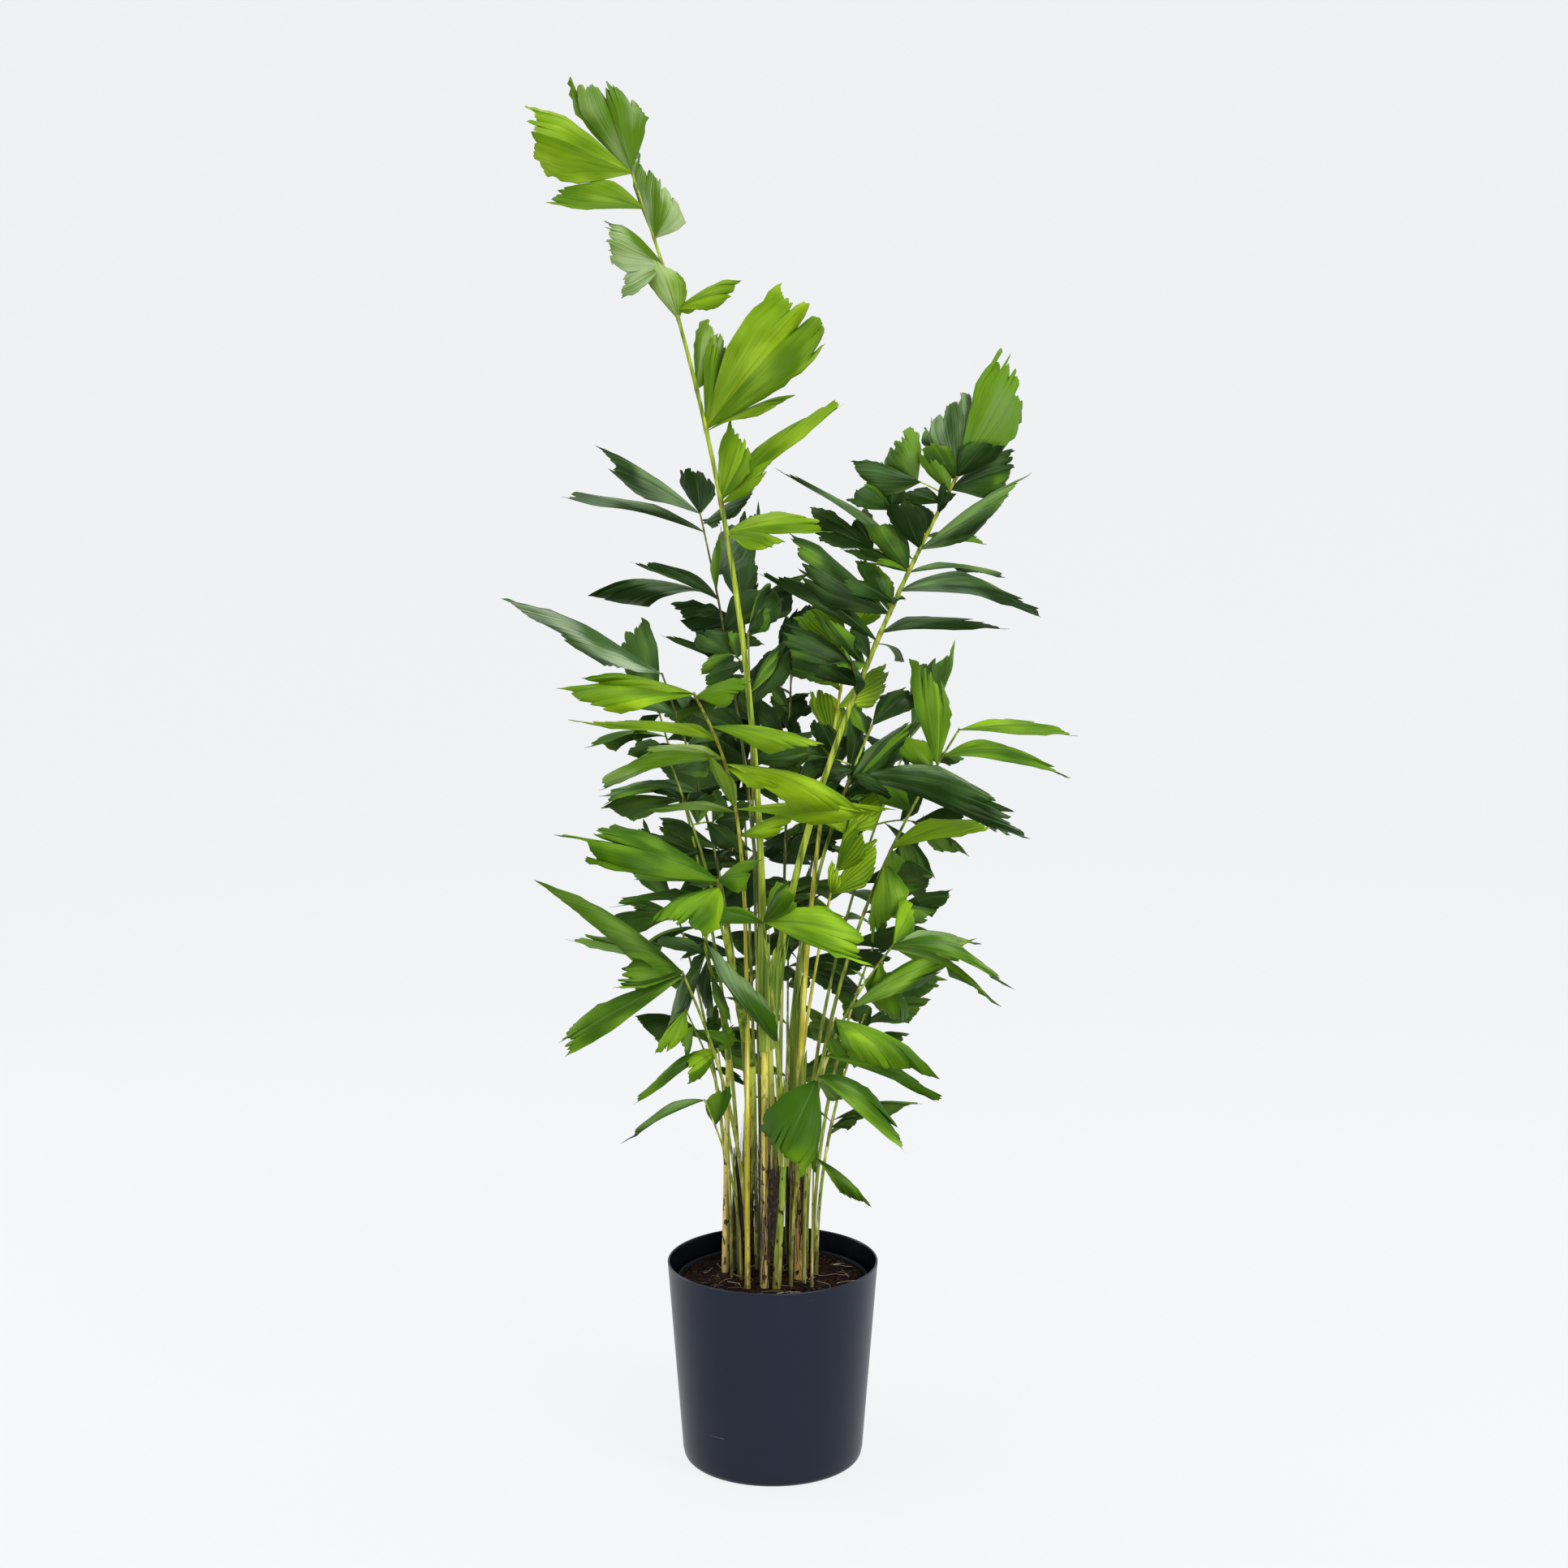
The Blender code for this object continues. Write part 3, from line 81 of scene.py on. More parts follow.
# fronds: a leaf is (height on the stalk, reach right, back and up, width, turn of its face, arch,
# and the slant of its end where that isn't the usual one)
fronds = {
    "frond_tall": dict(
        cane="cane_yellow", tip=(-16.8, -3.0, 163.2), bow=2.45, stalk=(0.40, 0.13), tone="lime",
        leaves=[
            (163.2, -4.4, 0, 10.8, 8.6, 85, 4, 0.25), (163, -12.8, -1, 4.6, -8.2, 80, 5),
            (158.8, -10.4, -1.5, 2.2, 5, 70, 10), (155.3, 1.2, -1, 6.9, 8.2, 80, 6, 0.45),
            (152.4, -7.2, 0, 2.6, -6.2, 80, 6), (152, -5, -1, -2.4, 3.8, 80, 6),
            (145.6, -1.9, -1, 7, 5, 80, 5), (146.8, 7.6, 1, 2.4, 3.4, 70, 16),
            (137.3, 2.8, 1, 7.4, 5.4, 80, 5), (132.7, 2.5, 0, 9.6, 4.2, 85, 5),
            (132.5, 11.6, -2, 15.8, 10.5, 75, 5, 0.03), (132.2, 10.2, 1.5, 3.9, 1.4, 60, 12),
            (123.9, 2.6, 0, 8, 5, 85, 5), (123.8, 11.9, 1, 12.7, -3.9, 70, 6),
            (123.4, 6.2, -1, 4.4, 2.6, 70, 8), (119.9, 11.6, 2, 1.8, -5, 50, 8),
            (119.6, 5.9, -2, -1.3, 3, 50, 10), (146.6, 3, 1, 0.6, 1.6, 60, 8),
        ]),
    "frond_right": dict(
        cane="cane_core", tip=(22.9, 3.0, 126.5), bow=1.66, stalk=(0.44, 0.16), tone="dark",
        leaves=[
            (126.5, 7.8, -1, 12.6, 8.6, 75, 6), (126.5, -2, 1, 9, -8, 80, 6),
            (124.8, 8.4, 2, 3, 6, 65, 8), (126.3, 3.6, -3, 4.6, -4.6, 75, 6),
            (124, -9.1, -1, 4.8, -7, 75, 6), (119.1, -8.3, -2, 6.2, 5.5, 70, 8),
            (119, 6.6, 2, -0.4, -2.4, 50, 10), (117.4, 12, -1.5, 6.6, 4.6, 65, 8, 0.32),
            (114.8, -11.9, 1, 7, -5.2, 50, 8), (114.5, 11, 3, 0.5, -2, 40, 10),
            (114.6, -3.4, -2, 6.2, 4.6, 75, 5), (112.2, 15.6, -3, -0.2, -5, 40, 10, 0.22),
            (109.4, -12.4, -2.5, 6.8, -7, 65, 8), (109.6, -2.2, 0.5, 6.5, 4, 80, 6),
            (107, 12.6, -1, 1.4, -3.6, 35, 8, 0.32), (101.6, -9.6, -2, 5, -6.5, 65, 8),
            (117.5, -2.5, -3.5, 5.5, 4.5, 80, 6), (126.2, -3.2, -3.5, 4, 3.6, 80, 6),
            (124.6, -2.2, -3, 4.4, 3.6, 80, 6), (114.7, -6.6, 0, 3.4, 2.8, 60, 8),
            (106, -12.4, -1, 9, 3.6, 60, 8), (102.6, -4.6, -3, 6.8, 3, 75, 5),
            (116, -14.6, 3, 10.4, 2, 60, 8),
        ]),
    "frond_lime": dict(
        foot=(-3.2, -3.4), tip=(-9.4, -13.0, 101.5), bow=7.5, stalk=(0.32, 0.12), tone="lime",
        leaves=[
            (101.3, -14, -3, 0.2, -5.2, 50, 8), (101, 5.8, -1, 1.2, 4.2, 50, 10),
            (97, 12, -3, -1.2, 3.6, 55, 8), (95, -12.4, -2, 2.6, 3, 35, 8, 0.5),
            (92.6, -8.6, 2, 1.6, 2.4, 50, 10), (92, 14.8, -4, -5, 3.8, 50, 13),
            (91.5, 7, -4, -2, 3, 50, 10), (92.6, -14.6, 3, -2.4, 3.8, 45, 14),
            (86, 17.2, -3, -0.9, 3.2, 50, 8), (86, -2.2, -3, 6.6, 2.6, 105, 5),
            (85.6, -10.6, 4, -0.2, 2, 50, 10), (82.5, 6.4, -3, 2.8, 2.8, 60, 8),
            (101.4, -11.8, -2, 2.4, -2.4, 50, 8),
        ]),
    "frond_fan": dict(
        cane="cane_broad", tip=(-6.6, -12.0, 78.5), bow=0.9, stalk=(0.36, 0.14), tone="bright",
        leaves=[
            (78.3, -15.2, -5, 6, 6.8, 60, 10, 0.05), (77.5, -4.3, -8, -3.2, -7.6, 60, 14),
            (78, -18.3, 3, 5.4, 2, 50, 8), (77.6, -10, 5, 0.4, 2.8, 45, 10),
            (75.4, -12.6, 6, -1, 2.2, 45, 10), (78.4, 4.2, -3, 1.6, 4.2, 60, 8),
        ]),
    "frond_centre": dict(
        cane="cane_spotted", tip=(-1.1, -10.0, 72.8), bow=1.6, stalk=(0.30, 0.12), tone="bright",
        leaves=[
            (72.8, 12.2, -5, -1.2, -6.6, 60, 17), (72.6, -6.5, -3.5, 2.2, 3, 60, 10),
            (56.5, -5.6, -3, 10.6, 4.4, 112, 8, 0.45), (71.5, 3, 4, 5, 3.6, 60, 8),
        ]),
    "frond_right_middle": dict(
        foot=(4.3, 4.4), tip=(23.6, 4.0, 94.7), bow=2.4, stalk=(0.28, 0.11), tone="middle",
        leaves=[
            (94.5, 13.2, 0, 0.1, -3.2, 40, 6), (91, 14, -2, 0.1, -4, 45, 14),
            (90, -1.4, -2, 12.6, 5.2, 80, 5), (79.2, 11.4, -3, 4, -4.2, 50, 12),
            (88, 10, 4, -8, 1.6, 60, 10), (84, -5, 2.5, 4, 5, 60, 8),
            (77.4, 0.9, -3.5, -7.4, -6, 70, 12), (89, -3.5, 1.5, 4.5, 4.4, 80, 6),
            (71, 9.2, 5, -1.8, 3.8, 45, 10),
        ]),
    "frond_right_fan": dict(
        cane="cane_rear_right", tip=(12.6, 2.5, 95.5), bow=2.2, stalk=(0.28, 0.12), tone="dark",
        leaves=[
            (88.5, 20.3, -7, -2.6, -7, 50, 15), (95.3, 5.2, 2, 4.6, -4.4, 60, 10),
            (87, 7.5, 2, 9, -3.6, 70, 6), (86, 8.5, -3, 7.5, 3.6, 70, 6),
            (94, -2, 4, 3, 3, 70, 6), (90, -7.5, 4, 2, 4.6, 60, 8),
            (80, 6, 6, 3, 4.6, 50, 10),
        ]),
    "frond_back_left_dark": dict(
        cane="cane_rear", tip=(-9.2, 10.0, 121.5), bow=2.0, stalk=(0.26, 0.08), tone="dark",
        leaves=[
            (121.3, -12, 1, 7, -3.2, 60, 6), (119, -15.5, -1, 5, 2.6, 45, 8),
            (121.3, -0.5, 2, 5.5, 4.8, 80, 6), (120, 6.5, 2, 3, 2.8, 50, 8),
            (113.5, 3.8, 1, 5.2, 5.6, 80, 6), (110.5, -14.8, -1, 1.6, -2, 50, 18),
            (109, -2.6, -2, 0.5, 2.2, 60, 6), (106.5, 5.2, 0, 5.5, -5.6, 80, 6),
            (101.5, -2.6, -1.5, 5.4, 5.6, 75, 6), (99, 7, 5, 3, 4.4, 50, 10),
            (110.5, -8.8, 0, 5.6, 3, 60, 12), (102, -7, 0, 4.4, 1.8, 60, 8),
        ]),
    "frond_grey_left": dict(
        foot=(-3.0, 8.0), tip=(-14.0, 6.0, 101.5), bow=2.6, stalk=(0.24, 0.09), tone="grey",
        leaves=[
            (101.3, -15.2, -1, 5.4, -5.2, 50, 8, 0.45), (99, 3.5, 6, -2, 3.6, 60, 8),
            (96, -10, 3, 3, 4.2, 50, 10), (92, 6, 4, 4.4, 3.6, 50, 8),
            (86, -11, 4, 0, 4.2, 40, 12),
        ]),
    "frond_dark_middle": dict(
        foot=(-2.0, 3.9), tip=(-13.4, -1.0, 93.0), bow=2.3, stalk=(0.26, 0.09), tone="dark",
        leaves=[
            (93, -4, 2, -1.5, 4, 70, 8), (92.5, -4.2, -2, 1.2, 3, 70, 8),
            (90, 5, 2, 2, 5.2, 60, 8), (88, -8.5, 3, -2, 2.4, 40, 12),
            (83, 6, 4, 0, 4.6, 60, 8), (79, -8.5, 2, 2, 3.2, 45, 12),
        ]),
    "frond_left": dict(
        foot=(-3.2, 2.0), tip=(-11.1, -10.0, 66.6), bow=2.1, stalk=(0.28, 0.11), tone="middle",
        leaves=[
            (66.6, -11.6, 0.5, 6.3, -4.6, 50, 16, 0.7), (66.4, -12, 4, 4, 3.6, 45, 10),
            (66.3, -7.5, -3, 1.4, 5.4, 65, 8), (66, -15.4, -4, -8, 4.2, 60, 4, 0.03),
        ]),
    "frond_left_hub": dict(
        cane="cane_tan", tip=(-8.5, 1.5, 66.2), bow=1.8, stalk=(0.24, 0.10), tone="dark",
        leaves=[
            (66.2, -4.6, -3.5, -9, 2.8, 75, 10), (65.5, -0.6, 2.5, -8.2, 2.6, 80, 10),
            (64, 4.6, 5, -2.6, 2.6, 55, 18), (66, -6, 4, 2, 2.8, 60, 8),
        ]),
    "frond_left_low": dict(
        foot=(-4.4, 1.4), tip=(-10.9, -3.0, 60.0), bow=2.8, stalk=(0.20, 0.08), tone="middle",
        leaves=[
            (60, -2.3, -2, -5, -3.2, 75, 8), (59.8, -2.2, 2, -3, 1.6, 60, 8),
            (57.2, 4.6, -1, -1.6, 2.2, 60, 16),
        ]),
    "frond_left_lower": dict(
        foot=(-5.3, 0.9), tip=(-6.9, -1.6, 54.6), bow=2.6, stalk=(0.20, 0.08), tone="middle",
        leaves=[
            (54.6, -9.7, -2, -5.4, 2.2, 50, 14), (54.4, -3.6, -3.5, -1.8, 3.6, 65, 10),
            (54.2, 2, 2.5, 2.6, 2.6, 60, 10),
        ]),
    "frond_left_lowest": dict(
        foot=(-4.0, 0.0), tip=(-8.6, -3.4, 48.5), bow=2.5, stalk=(0.19, 0.08), tone="middle",
        leaves=[
            (48.4, -9.4, -2, -3.3, 2.2, 50, 16), (44.8, 0.7, -1.5, 4.8, -3.6, 75, 6),
        ]),
    "frond_right_low": dict(
        foot=(4.0, -1.5), tip=(15.0, -6.0, 69.0), bow=3.4, stalk=(0.26, 0.10), tone="bright",
        leaves=[
            (60.2, 14, -3, 7.4, 4, 55, 16), (69, 13.3, 1, -4.2, -3.8, 45, 20),
            (66.5, 2.2, 3.5, -9, 5, 75, 8), (67, -0.6, 4.5, -7, 3.4, 80, 8),
            (69, 3, 5, 4, 3.6, 60, 8), (68.5, 10.2, 5, 0.6, -2.4, 40, 14),
            (68.5, 12.8, 2, -5.6, -2.4, 45, 16),
        ]),
    "frond_right_lower": dict(
        foot=(2.3, -2.7), tip=(7.9, -7.0, 60.0), bow=2.2, stalk=(0.24, 0.10), tone="bright",
        leaves=[
            (59.8, 8.4, -4, -5.2, 5.6, 55, 20, 0.45), (54.8, 13.8, -2, -4.2, -3, 50, 16),
            (57.4, 1.8, -2.5, -2.2, 2.8, 60, 8), (52, 10.6, -6, -5.2, -4.4, 60, 20),
            (51.5, -4.2, -6.5, -8, 8.6, 75, 14), (50.5, -1.2, -2.2, -9.5, 2.6, 70, 6),
            (51.2, 4, 2, -2.6, 2.4, 50, 10),
        ]),
    "frond_lowest": dict(
        foot=(5.0, -2.9), tip=(5.2, -4.0, 41.2), bow=2.0, stalk=(0.18, 0.08), tone="middle",
        leaves=[(41.2, 6.4, -3, -5, 1.6, 60, 24)]),
    "frond_brown_rib": dict(
        foot=(-1.3, 3.9), tip=(-3.0, 0.0, 107.5), bow=1.2, stalk=(0.24, 0.08), tone="dark",
        leaves=[
            (98, 6, 2.5, 8.5, -5.2, 75, 6), (107.3, 3.5, 3, 5, 4.2, 80, 6),
            (103, -5, 4, 3, 4.2, 70, 8), (94, -7, 3, 3, 4.4, 60, 8), (91, 8, 1, 2, 4.6, 60, 8),
        ]),
    "frond_back_cane": dict(
        cane="cane_orange", tip=(10.0, 9.0, 106.5), bow=2.0, stalk=(0.34, 0.12), tone="lime",
        leaves=[
            (90.5, -5.5, -2, 6, 5.2, 85, 5), (93, -1, 3, 6, 4.8, 85, 5),
            (99, -5, 3, 6, 3.8, 80, 6), (104, -5, 1, 5, 5.2, 75, 6),
            (106.4, 3, 3, 5.5, 4.6, 75, 6), (97, 7, 5, 3, 4.6, 60, 8),
        ]),
    "frond_inner_lime": dict(
        foot=(2.3, 2.6), tip=(9.2, 0.6, 82.0), bow=2.2, stalk=(0.26, 0.10), tone="lime",
        leaves=[
            (81.8, -4, 3, 5, 5.2, 70, 6), (74, 6, -1.5, 5.6, 4.4, 80, 6),
            (77, 3, -3, 5, 4.2, 85, 6), (81.8, 5, 4, 4, 4.2, 60, 8),
        ]),
}

# fronds of the far side, by rule: foot, tip, bow, pairs, leaf length, leaf width, tone
farFronds = {
    "frond_far_tall": ((-0.6, 8.6), (-4.0, 24.0, 108.0), 2.2, 4, 13.0, 5.2, "dark"),
    "frond_far_right_high": ((3.8, 8.6), (18.0, 20.0, 91.0), 2.2, 4, 12.5, 5.0, "middle"),
    "frond_far_left_high": ((-4.2, 7.2), (-15.0, 22.0, 94.0), 2.2, 4, 12.5, 5.0, "middle"),
    "frond_far_inner": ((0.8, 4.6), (2.4, 13.0, 101.0), 2.0, 4, 11.5, 5.2, "dark"),
    "frond_far_middle": ((0.8, 8.8), (7.0, 27.0, 84.0), 2.0, 4, 12.5, 5.0, "dark"),
    "frond_far_deep": ((-2.2, 9.8), (-4.0, 20.0, 86.0), 2.0, 3, 11.5, 5.0, "dark"),
    "frond_far_right_low": ((5.2, 6.6), (15.0, 18.0, 68.0), 2.2, 3, 12.0, 4.6, "middle"),
    "frond_far_left_low": ((-5.6, 5.6), (-13.0, 15.0, 70.0), 2.2, 3, 12.0, 4.6, "middle"),
    "frond_far_low": ((1.8, 10.0), (2.0, 24.0, 60.0), 2.0, 3, 11.5, 4.6, "bright"),
    "frond_far_side": ((5.6, 2.0), (12.0, 11.0, 56.0), 2.4, 2, 10.0, 4.2, "middle"),
}
farPlan = dict(
    stalk=(0.25, 0.09), bareShare=0.62, lastPair=0.97, seed=11, shift=0.02, beside=(0.7, 1.0),
    outward=(0.1, 0.6), lift=(-0.15, 0.45), sizes=(0.8, 1.1), smaller=0.2, widths=(0.8, 1.15),
    turns=(20.0, 65.0), arches=(0.06, 0.18), endOutward=(0.4, 0.9), endLift=0.8, endWidth=1.2,
    endTurn=60.0, endArch=0.06,
)


# a number of a name's own, for its random draws
def nameNumber(name):
    return sum(ord(letter) for letter in name)


# a limb's path rises in level steps: place = foot + (tip - foot) * share ^ bow, height linear in share
def pathOf(foot, tip, bow):
    count = max(3, round((tip.z - foot.z) / limbPlan["levelStep"]) + 1)
    path = []
    for index in range(count):
        height = foot.z + (tip.z - foot.z) * index / (count - 1)
        point = foot.lerp(tip, ((height - foot.z) / (tip.z - foot.z)) ** bow)
        point.z = height
        path.append(point)
    return path


def planLimbs():
    limbs = {}
    ground = soilTop + clearance
    for name, cane in canes.items():
        foot = Vector((cane["foot"][0] * cm, cane["foot"][1] * cm, ground))
        path = pathOf(foot, Vector(cane["top"]) * cm, 1.0)
        limbs[name] = dict(path=path, radii=[r * cm for r in cane["radii"]], cane=True)
    sources = {name: (frond, frond["stalk"]) for name, frond in fronds.items()}
    for name, (foot, tip, bow, _, _, _, _) in farFronds.items():
        sources[name] = (dict(foot=foot, tip=tip, bow=bow), farPlan["stalk"])
    for name, (frond, stalk) in sources.items():
        if "cane" in frond:
            foot = limbs[frond["cane"]]["path"][-1] + Vector((0.0, 0.0, clearance))
        else:
            foot = Vector((frond["foot"][0] * cm, frond["foot"][1] * cm, ground))
        path = pathOf(foot, Vector(frond["tip"]) * cm, frond["bow"])
        limbs[name] = dict(path=path, radii=[r * cm for r in stalk], cane=False, on=frond.get("cane"))
    return limbs


def pointAt(limb, height):
    path = limb["path"]
    if height <= path[0].z:
        return path[0].copy()
    for lower, upper in zip(path, path[1:]):
        if height <= upper.z:
            return lower.lerp(upper, (height - lower.z) / (upper.z - lower.z))
    return path[-1].copy()


def radiusAt(limb, height):
    low = limb["path"][0].z
    share = min(1.0, max(0.0, (height - low) / (limb["path"][-1].z - low)))
    return limb["radii"][0] + (limb["radii"][1] - limb["radii"][0]) * share


# the same for an array of heights: the path's x and y, and the radius
def limbLine(limb, heights):
    levels = [point.z for point in limb["path"]]
    x = np.interp(heights, levels, [point.x for point in limb["path"]])
    y = np.interp(heights, levels, [point.y for point in limb["path"]])
    return x, y, np.interp((heights - levels[0]) / (levels[-1] - levels[0]), (0.0, 1.0), limb["radii"])


# limbs that come too close are pushed apart level by level, and then smoothed
def spreadLimbs(limbs):
    names = list(limbs)
    for _ in range(limbPlan["rounds"]):
        moved = 0.0
        for firstIndex, firstName in enumerate(names):
            first = limbs[firstName]
            for secondName in names[firstIndex + 1:]:
                second = limbs[secondName]
                joined = second.get("on") == firstName
                for point in second["path"]:
                    if point.z < first["path"][0].z or point.z > first["path"][-1].z or joined:
                        continue
                    other = pointAt(first, point.z)
                    apart = Vector((point.x - other.x, point.y - other.y, 0.0))
                    need = radiusAt(first, point.z) + radiusAt(second, point.z) + limbPlan["gap"]
                    if apart.length >= need:
                        continue
                    push = apart.normalized() * (need - apart.length)
                    moved = max(moved, push.length)
                    if point is not second["path"][0]:
                        point += push * 0.5
                    for place in first["path"][1:]:
                        if abs(place.z - point.z) <= limbPlan["levelStep"] * 0.75:
                            place -= push * 0.5
        for limb in limbs.values():
            path = limb["path"]
            for index in range(1, len(path) - 1):
                middle = (path[index - 1] + path[index + 1]) * 0.5
                path[index].x += (middle.x - path[index].x) * 0.15
                path[index].y += (middle.y - path[index].y) * 0.15
        if moved < 0.00005:
            break


# a leaflet's directions: along it, across it, and out of its upper face
def leafFrame(reach, towards, turn):
    along = reach.normalized()
    angle = math.radians(turn)
    looks = Vector((0.0, 0.0, math.cos(angle))) + towards * math.sin(angle)
    across = looks.cross(along).normalized()
    return along, across, along.cross(across)


# a leaf as its row asks for it: it has 2 columns, and one more for each limit that its width passes
def wantedLeaf(root, reach, width, turn, arch, towards, dice):
    broad = abs(width)
    columns = 2 + sum(broad > limit for limit in leafPlan["broader"])
    teeth = []
    for index in range(2 * columns + 1):
        notch = leafPlan["notch"] if index % 2 else 0.0
        teeth.append(1.0 - notch * dice.uniform(*leafPlan["notches"]) - dice.uniform(0.0, leafPlan["uneven"]))
    return dict(
        root=root, reach=reach, length=reach.length, width=broad, side=1.0 if width > 0.0 else -1.0,
        arch=arch, towards=towards, turn=turn, frame=leafFrame(reach, towards, turn),
        slant=leafPlan["slant"], columns=columns, teeth=teeth,
    )


def wantedLeaves(name, limb):
    dice = random.Random(farPlan["seed"] + nameNumber(name))
    leaves = []
    if name in fronds:
        for height, right, back, up, width, turn, arch, *slant in fronds[name]["leaves"]:
            root = pointAt(limb, height * cm)
            reach = Vector((right, back, up)) * cm
            towards = Vector((0.0, -1.0, 0.0))
            leaf = wantedLeaf(root, reach, width * cm, turn, arch * 0.01, towards, dice)
            if slant:
                leaf["slant"] = slant[0]
            leaves.append(leaf)
        return leaves
    plan = farPlan
    foot, tip, _, pairs, length, width, _ = farFronds[name]
    low = limb["path"][0].z
    high = limb["path"][-1].z
    outward = Vector((tip[0] - foot[0], tip[1] - foot[1], 0.0)).normalized()
    beside = Vector((-outward.y, outward.x, 0.0))
    for index in range(pairs):
        share = plan["bareShare"] + (plan["lastPair"] - plan["bareShare"]) * index / (pairs - 1)
        for hand in (-1.0, 1.0):
            height = low + (high - low) * (share + dice.uniform(-plan["shift"], plan["shift"]))
            root = pointAt(limb, height)
            heading = beside * (hand * dice.uniform(*plan["beside"]))
            heading += outward * dice.uniform(*plan["outward"])
            heading.z = dice.uniform(*plan["lift"])
            size = length * cm * dice.uniform(*plan["sizes"]) * (1.0 - plan["smaller"] * index / pairs)
            reach = heading.normalized() * size
            broad = width * cm * dice.uniform(*plan["widths"]) * hand
            turn = dice.uniform(*plan["turns"])
            arch = dice.uniform(*plan["arches"])
            leaves.append(wantedLeaf(root, reach, broad, turn, arch, outward, dice))
    reach = outward * dice.uniform(*plan["endOutward"]) + Vector((0.0, 0.0, plan["endLift"]))
    reach = reach.normalized() * length * cm
    broad = width * plan["endWidth"] * cm
    end = limb["path"][-1].copy()
    leaves.append(wantedLeaf(end, reach, broad, plan["endTurn"], plan["endArch"], outward, dice))
    return leaves


# a leaf is tried as it is, then turned, swung, tipped and shortened, the smallest change first
def leafTries(leaf):
    yield leaf
    changes = []
    for size in leafPlan["sizes"]:
        for swing in leafPlan["swings"]:
            for lift in leafPlan["lifts"]:
                for twist in leafPlan["twists"]:
                    effort = abs(swing) / leafPlan["swings"][1] + abs(lift) / leafPlan["lifts"][1]
                    effort += abs(twist) / leafPlan["twists"][1] + (1.0 - size) * 8.0
                    changes.append((effort, size, swing, lift, twist))
    changes.sort(key=lambda change: change[0])
    for _, size, swing, lift, twist in changes[1:]:
        tried = dict(leaf)
        reach = leaf["reach"].copy()
        reach.z += lift * leaf["length"]
        reach = reach.normalized() * (leaf["length"] * size)
        reach.rotate(Matrix.Rotation(math.radians(swing), 3, "Z"))
        tried["reach"] = reach
        tried["length"] = reach.length
        tried["width"] = leaf["width"] * (0.5 + 0.5 * size)
        tried["frame"] = leafFrame(reach, leaf["towards"], leaf["turn"] + twist)
        yield tried


# the plain sheet of a leaf, as the solids have it: (u, v) to a place on its middle surface
def plainPoint(leaf, u, v, end):
    along, across, face = leaf["frame"]
    length = leaf["length"]
    stretch = 1.0 + leaf["slant"] * v - leafPlan["round"] * v * v
    full = leafPlan["fullWidth"]
    opened = leafPlan["rootShare"] + (1.0 - leafPlan["rootShare"]) * min(1.0, u / full)
    narrowed = 1.0 - leafPlan["endTaper"] * max(0.0, u - full) / (1.0 - full)
    half = leaf["width"] * 0.5 * opened * narrowed
    rise = leaf["arch"] * length * 4.0 * u * (1.0 - u) - leafPlan["cup"] * leaf["width"] * u * v * v
    sideways = across * (half * v * leaf["side"])
    return leaf["root"] + along * (length * u * stretch * end) + sideways + face * rise


# the swollen solid that a leaf's place is tested with
def testSolid(leaf):
    columns = leaf["columns"]
    swell = leafPlan["swell"]
    thick = max(leafPlan["thickness"], leafPlan["thicknessShare"] * leaf["length"]) * 0.5 + swell
    along, across, face = leaf["frame"]
    rootHalf = min(leafPlan["rootHalf"], leaf["width"] * leafPlan["rootShare"]) + swell
    points = []
    for corner in (-1.0, 1.0):
        for level in (1.0, -1.0):
            offset = across * (rootHalf * leaf["side"] * corner)
            points.append(leaf["root"] + offset + face * (thick * 0.75 * level))
    middle = []
    for index in range(columns + 1):
        v = -1.0 + 2.0 * index / columns
        place = plainPoint(leaf, leafPlan["middle"], v, 1.0)
        if index in (0, columns):
            middle.append((len(points), len(points)))
            points.append(place + across * (swell * leaf["side"] * v))
        else:
            middle.append((len(points), len(points) + 1))
            points.append(place + face * thick)
            points.append(place - face * thick)
    ends = []
    for index in range(2 * columns + 1):
        v = -1.0 + index / columns
        if index == 1:
            v += leafPlan["notchInward"] / columns
        elif index == 2 * columns - 1:
            v -= leafPlan["notchInward"] / columns
        ends.append(len(points))
        points.append(plainPoint(leaf, 1.0, v, leaf["teeth"][index]) + along * swell)
    faces = [(0, 1, middle[0][0]), (3, 2, middle[columns][0]), (0, 2, 3), (0, 3, 1)]
    for level in (0, 1):
        low = level
        high = 2 + level
        halfWay = columns // 2
        for index in range(columns):
            root = low if index < halfWay else high
            faces.append((root, middle[index][level], middle[index + 1][level]))
        faces.append((low, middle[halfWay][level], high))
        for index in range(columns):
            near = middle[index][level]
            far = middle[index + 1][level]
            before, notch, after = ends[2 * index:2 * index + 3]
            faces.append((far if index == 0 else near, before, notch))
            faces.append((near if index == columns - 1 else far, notch, after))
            if index == 0:
                faces.append((near, before, far))
            elif index == columns - 1:
                faces.append((near, after, far))
            else:
                faces.append((near, notch, far))
    return points, faces


